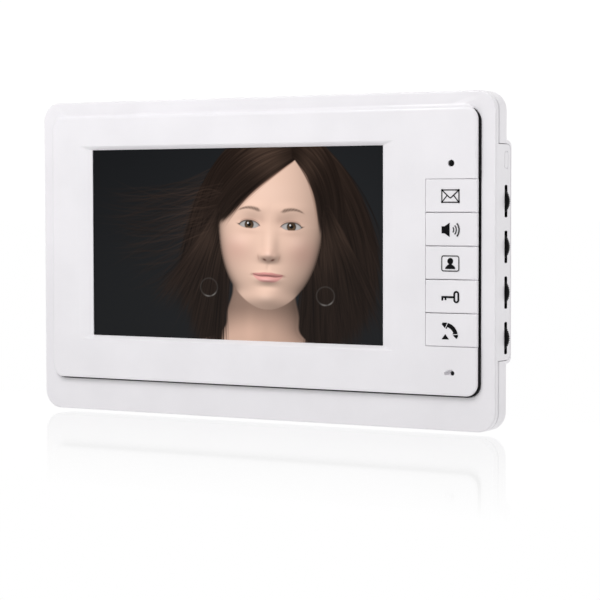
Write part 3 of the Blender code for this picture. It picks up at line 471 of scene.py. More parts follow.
def case_frame():
    outline = CASE[:4]
    side = CASE[1]
    inside = FRAME_FACE - WALL
    edge = PARTING + PARTING_GAP / 2
    opening = rounded(inset(LCD[:4], -0.0004), 0.0010)
    inner = inset_round(outline, CORNER_R, SIDE_WALL)
    under, over = inside - PAST, FRAME_FACE + PAST

    def shell(bm):
        rings = [(inset_round(outline, CORNER_R, by), FRAME_FACE - drop)
                 for by, drop in roll(FRONT_EDGE, FRONT_EDGE, 7)]
        rings += [(rounded(outline, CORNER_R), edge + PARTING_BEVEL),
                  (inset_round(outline, CORNER_R, PARTING_BEVEL), edge),
                  (inner, edge), (inner, inside), (opening, inside), (opening, FRAME_FACE)]
        loft(bm, rings, closed=True)

    def skirt(bm):
        box = FASCIA[:4]
        crest, core_by = 0.86, 0.0028
        profile = ((1.0, 0.0), (0.62, 0.10), (0.34, 0.30), (0.14, 0.58), (0.0, crest))
        rings = []
        for by, rise in [(SKIRT, -GAP)] + [(SKIRT * by, SKIRT * rise) for by, rise in profile]:
            shifted = (box[0] - by, box[1] - by, box[2] + by, box[3] + by)
            rings.append((rounded(inset(shifted, 0.00005), FASCIA_R), FRAME_FACE + rise))
        core = inset_round(box, FASCIA_R, core_by)
        rings += [(core, FRAME_FACE + SKIRT * crest), (core, FRAME_FACE - GAP)]
        loft(bm, rings, closed=True)

    def engraving(bm):
        depth, z = DIAL_DEPTH - 0.0003, TAB_TOP - 0.0066
        corners = [(-0.0012, -0.0036), (0.0013, -0.0036), (0.0017, -0.0026), (0.0017, 0.0026),
                   (0.0013, 0.0036), (-0.0012, 0.0036), (-0.0017, 0.0026), (-0.0017, -0.0026)]
        rings = [([(depth + d * scale, z + h * (scale * 0.5 + 0.5)) for d, h in corners], side + out)
                 for scale, out in ((1.10, 0.0002), (1.07, -0.0003), (0.88, -0.0003), (0.85, 0.0002))]
        loft_across(bm, rings, closed=True)

    def groove(bm):
        outer = inset_round(GASKET[:4], FASCIA_R, -GAP)
        core = inset_round(FASCIA[:4], FASCIA_R, BODY_INSET)
        floor = FRAME_FACE - 0.0005
        loft(bm, [(outer, floor), (outer, over), (core, over), (core, floor)], closed=True)

    tab = tab_outline(CASE[4], inside + OVERLAP)
    holes = [square(around(*middle(name), 0.0066, 0.0036)) for name in KEY_NODES]
    holes += [disc(LAMP_X, LAMP_Z, 0.0021), disc(MIC_X, MIC_Z, 0.0010)]
    slots = [slot_outline(z) for z in DIAL_Z]
    obj = raw("frame_shell", shell)
    carve(obj, bars([tab], side - SIDE_WALL, side), "UNION")
    carve(obj, skirt, "UNION")
    for shape in (engraving, groove, prisms(holes, under, over),
                  bars(slots, side - SIDE_WALL - PAST, side + PAST)):
        carve(obj, shape)
    for places, hole_r, back in ((CASE_SCREWS, CASE_HOLE_R, FLANGE_DEPTH + WALL),
                                 (LCD_SCREWS, SMALL_HOLE_R, span("lcd_bracket")[5]),
                                 (KEY_SCREWS, SMALL_HOLE_R, span("key_board")[5])):
        add_bosses(obj, places, hole_r, back + GAP, inside + OVERLAP)
    finish_piece(obj, WHITE, "monitor", ["front_frame"])


def slot_shade_liners():
    """Black sleeves that line the dial slots: painted shade that keeps the slots' walls dark."""
    wall = 0.00022
    outer_x, inner_x = CASE[1] - 0.00005, CASE[1] - SIDE_WALL
    for number, z in enumerate(DIAL_Z, 1):
        rings = [(slot_outline(z, -0.0002), outer_x - 0.0001), (slot_outline(z), outer_x),
                 (slot_outline(z, wall), outer_x), (slot_outline(z, wall), inner_x),
                 (slot_outline(z), inner_x)]
        sleeve = raw(f"slot_shade_liner_{number}", lambda bm: loft_across(bm, rings, closed=True))
        finish_piece(sleeve, DIAL_BLACK, "monitor")


# ---- Rear cover ----
def rolled(box, radius, depth):
    """Rings over the rolled rear edge of a box whose back lies at this depth."""
    return [(inset_round(box, radius, by), depth + drop) for by, drop in roll(EDGE, EDGE)]


def case_cover():
    outline = CASE[:4]
    side = CASE[1]
    housing = inset(outline, HOUSING_INSET_X, HOUSING_INSET_Z)
    back, rim = COVER[4:]
    floor, inside = back + WALL, FLANGE_DEPTH + WALL
    inner = inset_round(outline, CORNER_R, SIDE_WALL)
    hollow = inset_round(housing, HOUSING_R, WALL)
    pod_back = CASE[4] - WALL
    pod = (housing[1] - 2 * WALL, side, TAB_BOTTOM - SIDE_WALL, TAB_TOP + SIDE_WALL)

    def shell(bm):
        rings = rolled(housing, HOUSING_R, back)
        rings.append((rounded(housing, HOUSING_R), FLANGE_DEPTH))
        rings += rolled(outline, CORNER_R, FLANGE_DEPTH)
        rings += [(rounded(outline, CORNER_R), rim - PARTING_BEVEL),
                  (inset_round(outline, CORNER_R, PARTING_BEVEL), rim),
                  (inner, rim), (inner, inside), (hollow, inside), (hollow, floor)]
        loft(bm, rings)

    def pod_shell(bm):
        loft(bm, rolled(pod, TAB_R, pod_back) + [(rounded(pod, TAB_R), inside)])

    openings = [rounded(around(0.0, PORT_Z, 0.0230, 0.0070), 0.0012, 4)]
    for x, base in HOOKS:
        top = base + HOOK_NECK + GAP
        half = HOOK_W / 2 + 0.0005
        openings.append(rounded((x - half, x + half, top - HOOK_NECK - HOOK_RISE - 0.0010, top), 0.0005, 3))
    speaker_x, speaker_z = middle("speaker_basket")
    for i in range(GRILLE_SLITS):
        offset = GRILLE_PITCH * (i - GRILLE_SLITS // 2)
        half = math.sqrt(GRILLE_R ** 2 - offset ** 2)
        openings.append(rounded(around(speaker_x, speaker_z + offset, half, 0.0009), 0.00088, 6))
    pod_hollow = square((pod[0] - WALL, side - SIDE_WALL, TAB_BOTTOM, TAB_TOP))
    notch = tab_outline(CASE[4] - GAP, rim + PAST, GAP)
    screw_holes = [disc(x, z, CASE_HOLE_R) for x, z in CASE_SCREWS]
    obj = raw("cover_shell", shell)
    carve(obj, pod_shell, "UNION")
    for shape in (prisms([pod_hollow], pod_back + WALL, rim + PAST),
                  bars([notch], side - SIDE_WALL - GAP, side + PAST),
                  prisms(openings, back - PAST, floor + PAST),
                  prisms(screw_holes, FLANGE_DEPTH - PAST, inside + PAST)):
        carve(obj, shape)
    add_bosses(obj, MAIN_SCREWS, SMALL_HOLE_R, floor - OVERLAP, span("main_board")[4] - GAP)
    finish_piece(obj, WHITE, "monitor", ["rear_cover"])


# ---- Keys and their printed signs ----
def key_cap(name):
    box = KEYS[name][:4]
    back, front = KEYS[name][4:]
    edge, corner_r = 0.00035, 0.0002
    shoulder = front - 0.0014
    stem = rounded(around(*middle(name), 0.0060, 0.0030), corner_r, 3)

    def build(bm):
        rings = [(rounded(inset(box, by), corner_r, 3), front - drop) for by, drop in roll(edge, edge, 7)]
        rings += [(rounded(box, corner_r, 3), shoulder), (stem, shoulder), (stem, back)]
        loft(bm, rings)

    obj = raw(f"{name}_cap", build)
    # the outer end rolls over like the fascia's edge
    for vertex in obj.data.vertices:
        reach = (vertex.co.x - (box[1] - ROLL_W)) / ROLL_W
        if reach > 0 and -vertex.co.y > shoulder:
            sag = ROLL_D * (1 - math.sqrt(max(0.0, 1 - min(1.0, reach) ** 2)))
            vertex.co.y += sag * (-vertex.co.y - shoulder) / (front - shoulder)
    finish_piece(obj, WHITE_KEY, name, [name])


class Sign:
    """A printed sign: thin strips and patches in millimetres about its centre."""

    def __init__(self, key, suffix="", layer=0):
        x, z = middle(key)
        self.name, self.key = f"{key}_sign{suffix}", key
        self.x, self.z = x + SIGN_SHIFT, z - SIGN_DROP
        self.depth = KEYS[key][5]
        self.bm = bmesh.new()
        self.layer = layer

    def point(self, p):
        return (self.x + p[0] * 0.001, self.z + p[1] * 0.001)

    def next_layer(self):
        """Bottom and top of the next shape: each lies a hair higher, so overlapping print stays clean."""
        self.layer += 1
        return self.depth - PRINT_SUNK, self.depth + PRINT + PRINT_LAYER * self.layer

    def patch(self, points):
        """A filled outline."""
        prism(self.bm, [self.point(p) for p in points], *self.next_layer())

    def strip(self, points, width, closed=False):
        """A line of even width along the points, with mitred corners."""
        count = len(points)
        bottom, top = self.next_layer()
        rails = []
        for i, p in enumerate(points):
            before = points[i - 1] if (closed or i) else None
            after = points[(i + 1) % count] if (closed or i < count - 1) else None
            a = Vector(p) - Vector(before) if before is not None else Vector(after) - Vector(p)
            b = Vector(after) - Vector(p) if after is not None else a
            a, b = a.normalized(), b.normalized()
            across = Vector((-(a + b).y, (a + b).x)).normalized()
            across *= width / 2 / max(0.4, across.dot(Vector((-a.y, a.x))))
            left, right = self.point(Vector(p) + across), self.point(Vector(p) - across)
            rails.append([self.bm.verts.new((s[0], -d, s[1])) for s, d in
                          ((left, top), (right, top), (right, bottom), (left, bottom))])
        skin_over(self.bm, rails, closed)

    def place(self, look):
        attach(to_object(self.name, self.bm), look, self.key)


def envelope_sign():
    sign = Sign("key_message")
    sign.strip(square((-4.0, 4.0, -2.6, 2.6)), 0.46, closed=True)
    sign.strip([(-3.9, 2.5), (-0.45, -0.55), (0.0, -0.75), (0.45, -0.55), (3.9, 2.5)], 0.46)
    for side in (-1, 1):
        sign.strip([(side * 3.9, -2.5), (side * 1.5, 0.35)], 0.44)
    for side in (-1, 1):
        for up in (-1, 1):
            sign.patch(arc(side * 3.9, up * 2.5, 0.5, 0, 330, 12))
    sign.place(INK)


def volume_sign():
    sign = Sign("key_volume")
    sign.patch([(-4.1, -1.5), (-2.7, -1.5), (-0.35, -3.0), (-0.35, 3.0), (-2.7, 1.5), (-4.1, 1.5)])
    sign.place(INK)
    waves = Sign("key_volume", "_waves")
    for radius, width in ((1.6, 0.5), (2.8, 0.5), (4.1, 0.6)):
        waves.strip(arc(0.0, 0.0, radius, -42, 42, 14), width)
    waves.place(INK_GREY)


def person_sign():
    sign = Sign("key_monitor")
    sign.patch(arc(0.0, 1.0, 1.35, 0, 345, 24))
    sign.patch([(-2.4, -2.3), (2.4, -2.3), (2.15, -1.5), (1.45, -0.85), (0.75, -0.5), (0.55, 0.2),
                (-0.55, 0.2), (-0.75, -0.5), (-1.45, -0.85), (-2.15, -1.5)])
    sign.place(INK)
    card = Sign("key_monitor", "_card")
    card.strip(rounded(around(0.0, 0.0, 4.0, 3.2), 0.9, 8), 0.42, closed=True)
    card.place(INK_GREY)


def unlock_sign():
    sign = Sign("key_unlock")
    sign.strip(rounded(around(2.85, 0.1, 0.95, 2.2), 0.94, 8), 0.78, closed=True)
    for line, width in (([(1.9, 0.0), (-4.1, 0.0)], 0.85), ([(-3.7, 0.1), (-3.7, -1.5)], 0.85),
                        ([(-2.2, 0.1), (-2.2, -1.3)], 0.8)):
        sign.strip(line, width)
    sign.place(INK)


def talk_sign():
    sign = Sign("key_talk")
    sign.patch(arc(-2.3, -2.5, 5.9, 97, 3, 20) + arc(-2.3, -2.5, 4.1, 12, 86, 16))
    sign.patch([(-4.0, 2.75), (-3.4, 3.5), (-1.35, 2.3), (-1.55, 0.75), (-2.5, 1.05)])
    sign.patch([(1.1, -1.15), (2.2, -0.75), (3.75, -2.1), (3.0, -3.35), (1.75, -2.4)])
    sign.place(INK)
    slits = Sign("key_talk", "_slits", layer=12)     # over every layer of the handset
    slits.strip([(-2.35, 0.85), (-1.15, 3.35)], 0.24)
    slits.strip([(0.9, -1.75), (3.75, -1.35)], 0.24)
    slits.place(WHITE_KEY)
    lift = Sign("key_talk", "_arrow")
    lift.patch([(-4.0, -3.7), (-0.6, -3.7), (-2.3, -1.5)])
    lift.place(INK)


# ---- Edge dials ----
def dial(name, number):
    x, z = middle(name)
    low, high, back, front = span(name)[2:]
    radius = (high - low) / 2
    tooth, chamfer, bore = 0.00028, 0.0003, 0.0017
    count = 54 * 4                  # four points for each tooth

    def rim(by):
        points = []
        for i in range(count):
            angle = 2 * math.pi * (i + 0.5) / count
            r = radius - by - (tooth if i % 4 in (0, 1) else 0.0)
            points.append((x + r * math.cos(angle), z + r * math.sin(angle)))
        return points

    def build(bm):
        rings = [(rim(chamfer), back), (rim(0.0), back + chamfer), (rim(0.0), front - chamfer),
                 (rim(chamfer), front)]
        rings += [(disc(x, z, r, count), depth) for r, depth in
                  ((radius * 0.62, front), (radius * 0.58, front - 0.0004), (bore + 0.0012, front - 0.0004),
                   (bore + 0.0008, front), (bore, front), (bore, back))]
        loft(bm, rings, closed=True)

    obj = raw(f"dial_wheel_{number}", build)
    finish_piece(obj, DIAL_BLACK, f"dial_{number}", [name])


# ---- Lamp and microphone cloth ----
def lamp():
    base, tip = span("status_led")[4:]
    foot = disc(LAMP_X, LAMP_Z, LAMP_R * 1.22, 32)

    def build(bm):
        rings = [(foot, base), (foot, base + LAMP_R), (disc(LAMP_X, LAMP_Z, LAMP_R, 32), base + LAMP_R)]
        for i in range(12):
            a = math.radians(i * 7.4)
            ring = disc(LAMP_X, LAMP_Z, LAMP_R * math.cos(a), 32)
            rings.append((ring, tip - LAMP_R + LAMP_R * math.sin(a)))
        loft(bm, rings)

    finish_piece(raw("lamp_dome", build), LAMP_BLACK, "monitor", ["status_led"])


def voice_cloth():
    """A disc of black cloth in the microphone's hole."""
    front = FACE - 0.0005
    outline = disc(MIC_X, MIC_Z, VOICE_R - 0.00003)

    def build(bm):
        loft(bm, [(outline, front - 0.0003), (outline, front),
                  (disc(MIC_X, MIC_Z, VOICE_R * 0.7), front + 0.0001)])

    finish_piece(raw("voice_cloth", build), RUBBER, "monitor")


# ---- Screws with cross recesses ----
def cross_screw(node):
    x, z = middle(node)
    back, front = span(node)[4:]
    head_r, shank_r, head_h = 0.0027, 0.0014, 0.0018
    long, short = 0.0015, 0.00033

    def build(bm):
        rings = [(disc(x, z, head_r * s, 32), back + d * head_h)
                 for s, d in ((0.45, 0.0), (0.72, 0.06), (0.88, 0.2), (0.97, 0.42), (1.0, 0.7), (1.0, 1.0))]
        rings += [(disc(x, z, shank_r, 32), back + head_h), (disc(x, z, shank_r, 32), front - 0.0010),
                  (disc(x, z, shank_r * 0.4, 32), front)]
        loft(bm, rings)

    obj = raw(f"{node}_steel", build)
    for half_x, half_z in ((long, short), (short, long)):
        rings = [(square(around(x, z, half_x * s, half_z * s)), back + d)
                 for s, d in ((1.05, -0.0002), (0.95, 0.0003), (0.45, 0.0011))]
        carve(obj, lambda bm: loft(bm, rings))
    finish_piece(obj, NICKEL, "monitor", [node])


# ---- Connectors in the cable port ----
def connector(node, pins):
    x0, x1, z0, z1, back, front = span(node)
    x, z = middle(node)
    box = (x0, x1, z0, z1)
    wall, pitch, half = 0.0007, 0.0025, 0.00032
    keyways = [square(around(x + side * (x1 - x0) * 0.28, z0, 0.0006, 0.0020)) for side in (-1, 1)]

    def posts(bm):
        for i in range(pins):
            px = x + pitch * (i - (pins - 1) / 2)
            loft(bm, [(square(around(px, z, half * s, half * s)), depth) for s, depth in
                      ((0.4, back + 0.0004), (1.0, back + 0.0008), (1.0, front - 0.0007))])

    obj = raw(f"{node}_shell", prisms([square(box)], back, front))
    carve(obj, prisms([square(inset(box, wall))], back - PAST, front - 0.0008))
    carve(obj, prisms(keyways, back - PAST, front - 0.0014))
    soften(obj, 0.00012)
    finish_piece(obj, NYLON, "monitor", [node])
    finish_piece(raw(f"{node}_pins", posts), TIN, "monitor")


# ---- Wall bracket ----
def bracket():
    box = span("wall_bracket")[:4]
    front = span("wall_bracket")[5]
    plate_t, plate_r, bevel, bend = 0.0015, 0.0050, 0.0002, 0.0009

    def plate(bm):
        outer, inner = rounded(box, plate_r), inset_round(box, plate_r, bevel)
        loft(bm, [(inner, 0.0), (outer, bevel), (outer, plate_t - bevel), (inner, plate_t)])

    hooks, windows = [], []
    for x, base in HOOKS:
        top, tip = base + HOOK_NECK, base + HOOK_NECK + HOOK_RISE
        bent = [(front - by, base + drop) for by, drop in roll(bend, bend, 5)]
        blade = [(front, tip - 0.0008), (front - 0.0004, tip), (front - HOOK_T + 0.0002, tip),
                 (front - HOOK_T, tip - 0.0006), (front - HOOK_T, top), (plate_t / 2, top)]
        hooks.append((x, [(plate_t / 2, base)] + bent + blade))
        half = HOOK_W / 2 + 0.0004
        windows.append(square((x - half, x + half, top + 0.0004, tip)))

    def hook_shapes(bm):
        for x, outline in hooks:
            loft_across(bm, [(outline, x - HOOK_W / 2), (outline, x + HOOK_W / 2)])

    cable_hole = rounded(around(0.0, PORT_Z, 0.0250, 0.0095), 0.0020)
    fixings = [rounded(around(x, z, 0.0045, 0.0024), 0.00235)
               for x in (-0.030, 0.030) for z in (-0.030, 0.030)]
    obj = raw("bracket_plate", plate)
    carve(obj, hook_shapes, "UNION")
    for outlines in ([cable_hole], fixings, windows):
        carve(obj, prisms(outlines, -PAST, plate_t + PAST))
    finish_piece(obj, ZINC, "bracket", ["wall_bracket"])


# ---- Screen picture ----
SKIN = (0.91, 0.625, 0.495)


def smooth(low, high, value):
    t = np.clip((value - low) / (high - low), 0.0, 1.0)
    return t * t * (3 - 2 * t)


def hill(x, y, cx, cy, wide, tall, turn=0.0):
    """A smooth bump of height one."""
    c, s = math.cos(turn), math.sin(turn)
    u = ((x - cx) * c + (y - cy) * s) / wide
    v = (-(x - cx) * s + (y - cy) * c) / tall
    return np.exp(-(u * u + v * v))


def mix(under, over, share):
    return under + (np.asarray(over) - under) * share[..., None]


# The face follows the schoolbook rules, in head heights about the point between the eyes; y is up.
# The head is five eyes wide, the nose ends halfway from the brows to the chin and the mouth a third lower.
CHIN_Y, BROW_Y = -0.50, 0.090
EYE_X, EYE_W, EYE_H = 0.134, 0.067, 0.0290
NOSE_Y = (BROW_Y + CHIN_Y) / 2
MOUTH_Y = NOSE_Y + (CHIN_Y - NOSE_Y) / 3
CHEEK_W = 0.328
MOUTH_W = 0.100
HAIRLINE_Y = 0.46


def face_width(y):
    """Half width of the face at a height, from the hairline to the chin."""
    upper = CHEEK_W * np.sqrt(np.clip(1 - (np.clip(y, 0, None) / 0.60) ** 2, 0, 1))
    t = np.clip(-y / 0.505, 0, 1)
    lower = CHEEK_W * (1 - 0.16 * t) * np.clip(1 - t ** 2.7, 0, 1) ** 0.52
    return np.where(y > 0, upper, lower)


SWELLINGS = (                   # height, place and size in head heights, alike on both sides
    (0.009, 0.12, BROW_Y + 0.015, 0.10, 0.034),               # brow ridge
    (-0.022, 0.115, 0.02, 0.070, 0.044),                      # eye sockets
    (0.014, EYE_X, -0.002, 0.060, 0.034),                     # eyeballs
    (0.017, 0.175, -0.120, 0.105, 0.085),                     # cheekbones
    (0.020, 0, NOSE_Y + 0.034, 0.040, 0.032),                 # tip of the nose
    (0.010, 0.046, NOSE_Y + 0.024, 0.022, 0.024),             # wings of the nose
    (0.015, 0, MOUTH_Y, 0.12, 0.065),                         # mouth's rounding
    (-0.004, 0, (NOSE_Y + MOUTH_Y) / 2 + 0.008, 0.012, 0.024),  # groove over the upper lip
    (0.011, 0, MOUTH_Y + 0.014, 0.060, 0.013),                # upper lip
    (0.015, 0, MOUTH_Y - 0.022, 0.058, 0.016),                # lower lip
    (-0.006, 0, MOUTH_Y - 0.001, 0.070, 0.0065),              # line of the mouth
    (-0.009, 0, MOUTH_Y - 0.062, 0.062, 0.020),               # under the lower lip
    (0.018, 0, CHIN_Y + 0.065, 0.080, 0.045),                 # chin
)
TINTS = (                       # colour, share, place and size, alike on both sides
    ((0.88, 0.45, 0.38), 0.30, 0.215, -0.150, 0.095, 0.085),  # blush
    ((0.84, 0.47, 0.38), 0.20, 0, NOSE_Y + 0.032, 0.05, 0.04),
    ((0.46, 0.28, 0.22), 0.36, 0.13, 0.036, 0.085, 0.022),    # eyelids
    ((0.56, 0.35, 0.28), 0.22, 0.125, -0.040, 0.065, 0.016),
    ((0.56, 0.35, 0.28), 0.20, 0.055, 0.030, 0.020, 0.050),
)
GLEAMS = (                      # brightness, place and size
    (0.035, -0.006, -0.09, 0.012, 0.070), (0.075, -0.007, NOSE_Y + 0.038, 0.018, 0.014),
    (0.035, -0.04, 0.20, 0.15, 0.08), (0.045, -0.19, -0.09, 0.06, 0.035),
    (0.030, 0.17, -0.09, 0.05, 0.035), (0.025, -0.01, CHIN_Y + 0.065, 0.04, 0.020),
)


def relief(x, y):
    """Height of the face over a flat disc, in head heights."""
    half = np.hypot(face_width(y), 0.17 * smooth(CHIN_Y + 0.16, CHIN_Y + 0.02, y))
    across = np.clip(x / half, -1, 1)
    up = np.clip((y + 0.02) / 0.56, -1, 1)
    h = 0.24 * np.sqrt(np.clip(1 - across ** 2, 0, 1)) * np.sqrt(np.clip(1 - 0.55 * up ** 2, 0, 1))
    ridge_y = smooth(0.07, NOSE_Y + 0.045, y) * smooth(NOSE_Y - 0.03, NOSE_Y + 0.03, y)
    ridge_w = 0.040 + 0.018 * smooth(0.0, NOSE_Y, y)
    h = h + (0.005 + 0.025 * smooth(0.05, NOSE_Y + 0.045, y)) * ridge_y * np.exp(-(x / ridge_w) ** 2)
    for height, *place in SWELLINGS:
        h = h + height * hill(np.abs(x), y, *place)
    return h


def lit(x, y, light, wrap):
    """Soft light on the face from one direction, and how squarely the face turns to the viewer."""
    step = 0.004
    gx = (relief(x + step, y) - relief(x - step, y)) / (2 * step)
    gy = (relief(x, y + step) - relief(x, y - step)) / (2 * step)
    length = np.sqrt(gx * gx + gy * gy + 1)
    across, up, towards = np.asarray(light) / np.linalg.norm(light)
    dot = (-gx * across - gy * up + towards) / length
    return np.clip((dot + wrap) / (1 + wrap), 0, 1), 1 / length


def paint_face(x, y):
    """Colour and coverage of the head without its hair, at points in head heights."""
    bright, facing = lit(x, y, (-0.34, 0.46, 0.82), 0.35)
    second = lit(x, y, (0.75, 0.05, 0.65), 0.2)[0]
    soft = 0.20 + 0.80 * bright ** 1.7 + 0.10 * second
    tone = np.ones(x.shape + (3,)) * np.array(SKIN)
    ax = np.abs(x)
    for tint, share, *place in TINTS:
        tone = mix(tone, tint, share * hill(ax, y, *place))
    colour = tone * soft[..., None]
    colour *= (0.60 + 0.40 * smooth(0.10, 0.66, facing))[..., None]
    colour *= (0.58 + 0.42 * smooth(CHIN_Y - 0.015, CHIN_Y + 0.10, y))[..., None]
    for strength, *place in GLEAMS:
        colour += strength * hill(x, y, *place)[..., None]
    beside = 0.12 * hill(x, y, 0.046, -0.11, 0.020, 0.070) + 0.05 * hill(x, y, -0.044, -0.09, 0.014, 0.06)
    beneath = 0.24 * hill(x, y, 0.006, NOSE_Y - 0.010, 0.045, 0.012)
    colour *= (1 - beside - beneath)[..., None]
    for side in (-1, 1):
        nostril = hill(x, y, side * 0.026, NOSE_Y + 0.002, 0.0120, 0.0055, side * 0.35)
        colour = mix(colour, (0.10, 0.035, 0.026), np.clip(1.15 * nostril, 0, 0.88))
        wing = hill(x, y, side * 0.0665, NOSE_Y + 0.014, 0.0045, 0.018, side * -0.25)
        colour = mix(colour, (0.30, 0.14, 0.105), 0.34 * wing)
    colour = paint_mouth(x, y, colour)
    for side in (-1, 1):
        colour = paint_eye(x, y, side, colour)
        colour = paint_brow(x, y, side, colour)
    cover = smooth(0.007, -0.007, ax - face_width(y))
    cover = cover * smooth(CHIN_Y - 0.012, CHIN_Y + 0.003, y) * smooth(HAIRLINE_Y + 0.02, HAIRLINE_Y, y)
    return np.clip(colour, 0, 1), cover


def paint_mouth(x, y, colour):
    u = np.clip(np.abs(x) / MOUTH_W, 0, 1.2)
    bow = 0.0055 * hill(x, y * 0, 0, 0, 0.020, 1)
    line = MOUTH_Y + 0.009 * u ** 2 + 0.0022 * np.cos(x / MOUTH_W * 2 * math.pi) * (u < 1)
    top = line + 0.0260 * np.clip(1 - u ** 1.7, 0, 1) ** 0.8 - bow
    low = line - 0.0360 * np.clip(1 - u ** 2.3, 0, 1) ** 0.75
    upper = smooth(-0.004, 0.003, top - y) * smooth(-0.002, 0.002, y - line) * smooth(1.02, 0.9, u)
    under = smooth(-0.004, 0.004, y - low) * smooth(-0.002, 0.002, line - y) * smooth(1.02, 0.9, u)
    light = colour.mean(-1)
    colour = mix(colour, np.stack([light * 1.02, light * 0.42, light * 0.40], -1), 0.88 * upper)
    colour = mix(colour, np.stack([light * 1.30, light * 0.60, light * 0.56], -1), 0.88 * under)
    shine = hill(x, y, -0.012, MOUTH_Y - 0.019, 0.036, 0.0060)
    colour = colour + (0.09 * shine)[..., None]
    seam = np.exp(-((y - line) / 0.0030) ** 2) * smooth(1.06, 0.88, u)
    colour = mix(colour, (0.16, 0.055, 0.05), 0.80 * seam)
    corner = hill(np.abs(x), y, MOUTH_W + 0.002, MOUTH_Y + 0.008, 0.009, 0.007)
    return mix(colour, (0.30, 0.14, 0.11), 0.40 * corner)


def paint_eye(x, y, side, colour):
    cx = side * EYE_X
    u = (x - cx) / EYE_W
    v = y - 0.0035 * u * side
    top = EYE_H * np.clip(1 - np.abs(u + 0.06 * side) ** 2.3, 0, None) ** 0.78
    low = 0.0170 * np.clip(1 - np.abs(u - 0.05 * side) ** 2.2, 0, None) ** 0.85
    inside = smooth(-0.0016, 0.0016, top - v) * smooth(-0.0016, 0.0016, v + low) * (np.abs(u) < 1.03)
    ball = 0.46 * (0.70 + 0.28 * np.sqrt(np.clip(1 - u ** 2, 0, 1)))
    white = np.stack([ball * 1.02, ball * 0.97, ball * 0.95], -1)
    iris_y = 0.0040
    r = np.hypot(x - cx, y - iris_y)
    turn = np.arctan2(y - iris_y, x - cx)
    fibres = 0.5 + 0.5 * np.sin(turn * 23 + 3 * np.sin(turn * 7))
    shade = 0.55 + 0.45 * smooth(iris_y + 0.018, iris_y - 0.016, y)
    iris = np.stack([(0.085 + 0.050 * fibres) * shade, (0.052 + 0.030 * fibres) * shade,
                     (0.030 + 0.016 * fibres) * shade], -1)
    eye = mix(white, iris, smooth(0.0295, 0.0262, r))
    eye = mix(eye, (0.014, 0.010, 0.008), 0.70 * np.exp(-((r - 0.0275) / 0.0030) ** 2))
    eye = mix(eye, (0.004, 0.003, 0.003), smooth(0.0125, 0.0100, r))
    eye = mix(eye, (0.95, 0.95, 0.97), smooth(0.0060, 0.0036, np.hypot(x - cx + 0.0085, y - iris_y - 0.0090)))
    eye = eye * (0.50 + 0.50 * smooth(0.0, 0.011, top - v))[..., None]
    corner = hill(x, y, cx - side * EYE_W * 0.95, -0.003, 0.008, 0.006)
    eye = mix(eye, (0.52, 0.25, 0.21), 0.6 * corner)
    colour = mix(colour, eye, inside)
    lash_w = 0.0028 + 0.0016 * smooth(-1, 1, u * side)
    lash = np.exp(-((v - top - 0.0018) / lash_w) ** 2) * smooth(1.16, 0.96, np.abs(u))
    colour = mix(colour, (0.020, 0.012, 0.010), 0.92 * lash)
    wing = hill(x, y, cx + side * EYE_W * 1.03, 0.0045, 0.013, 0.0036, side * 0.35)
    colour = mix(colour, (0.040, 0.024, 0.019), 0.55 * wing)
    rim = np.exp(-((v + low + 0.0012) / 0.0020) ** 2) * smooth(1.0, 0.6, np.abs(u - 0.15 * side))
    colour = mix(colour, (0.18, 0.09, 0.07), 0.42 * rim)
    fold = np.exp(-((v - top * 0.90 - 0.0135) / 0.0032) ** 2) * smooth(1.08, 0.75, np.abs(u + 0.05 * side))
    return mix(colour, (0.30, 0.16, 0.125), 0.46 * fold)


def paint_brow(x, y, side, colour):
    s = (x * side - 0.064) / 0.150
    t = np.clip(s, 0, 1)
    line = BROW_Y + 0.023 * np.sin(math.pi * 0.66 * t ** 0.9) - 0.026 * t ** 3
    thick = (0.0130 * (1 - 0.66 * t ** 1.4)) * smooth(-0.10, 0.14, s)
    hairs = 0.90 + 0.10 * np.sin((x * side - 0.9 * (y - line)) * 330)
    body = smooth(1.5, 0.2, np.abs(y - line) / np.maximum(thick, 1e-4))
    body = body * smooth(-0.10, 0.16, s) * smooth(1.03, 0.82, s)
    return mix(colour, (0.085, 0.050, 0.036), 0.80 * body * hairs)


HEAD_H = 0.0730                  # crown to chin
HEAD_W = 1.12                    # widened against the slanting view of the screen
HEAD_X, HEAD_Y = 0.0195, 0.0080  # place of the point between the eyes, from the picture's middle
HEAD_TILT = math.radians(-3.0)   # the crown leans to the right
HAIR = np.array((0.0170, 0.0105, 0.0080))
HAIR_SHEEN = np.array((0.120, 0.074, 0.053))
BACKDROP = (0.0115, 0.0124, 0.0138)
RING_Y, RING_R = -0.395, 0.055   # the earrings
SCREEN_HAZE = 0.004              # what the glass reflects anyway


def splat(shape, rows, cols, share, sigma=0.55):
    """Soft dots added up on a grid."""
    out = np.zeros(shape)
    base_r, base_c = np.floor(rows).astype(int), np.floor(cols).astype(int)
    for dr in (-1, 0, 1, 2):
        for dc in (-1, 0, 1, 2):
            r, c = base_r + dr, base_c + dc
            ok = (r >= 0) & (r < shape[0]) & (c >= 0) & (c < shape[1])
            weight = np.exp(-((rows - r) ** 2 + (cols - c) ** 2) / (2 * sigma ** 2)) * share
            np.add.at(out, (r[ok], c[ok]), weight[ok])
    return out


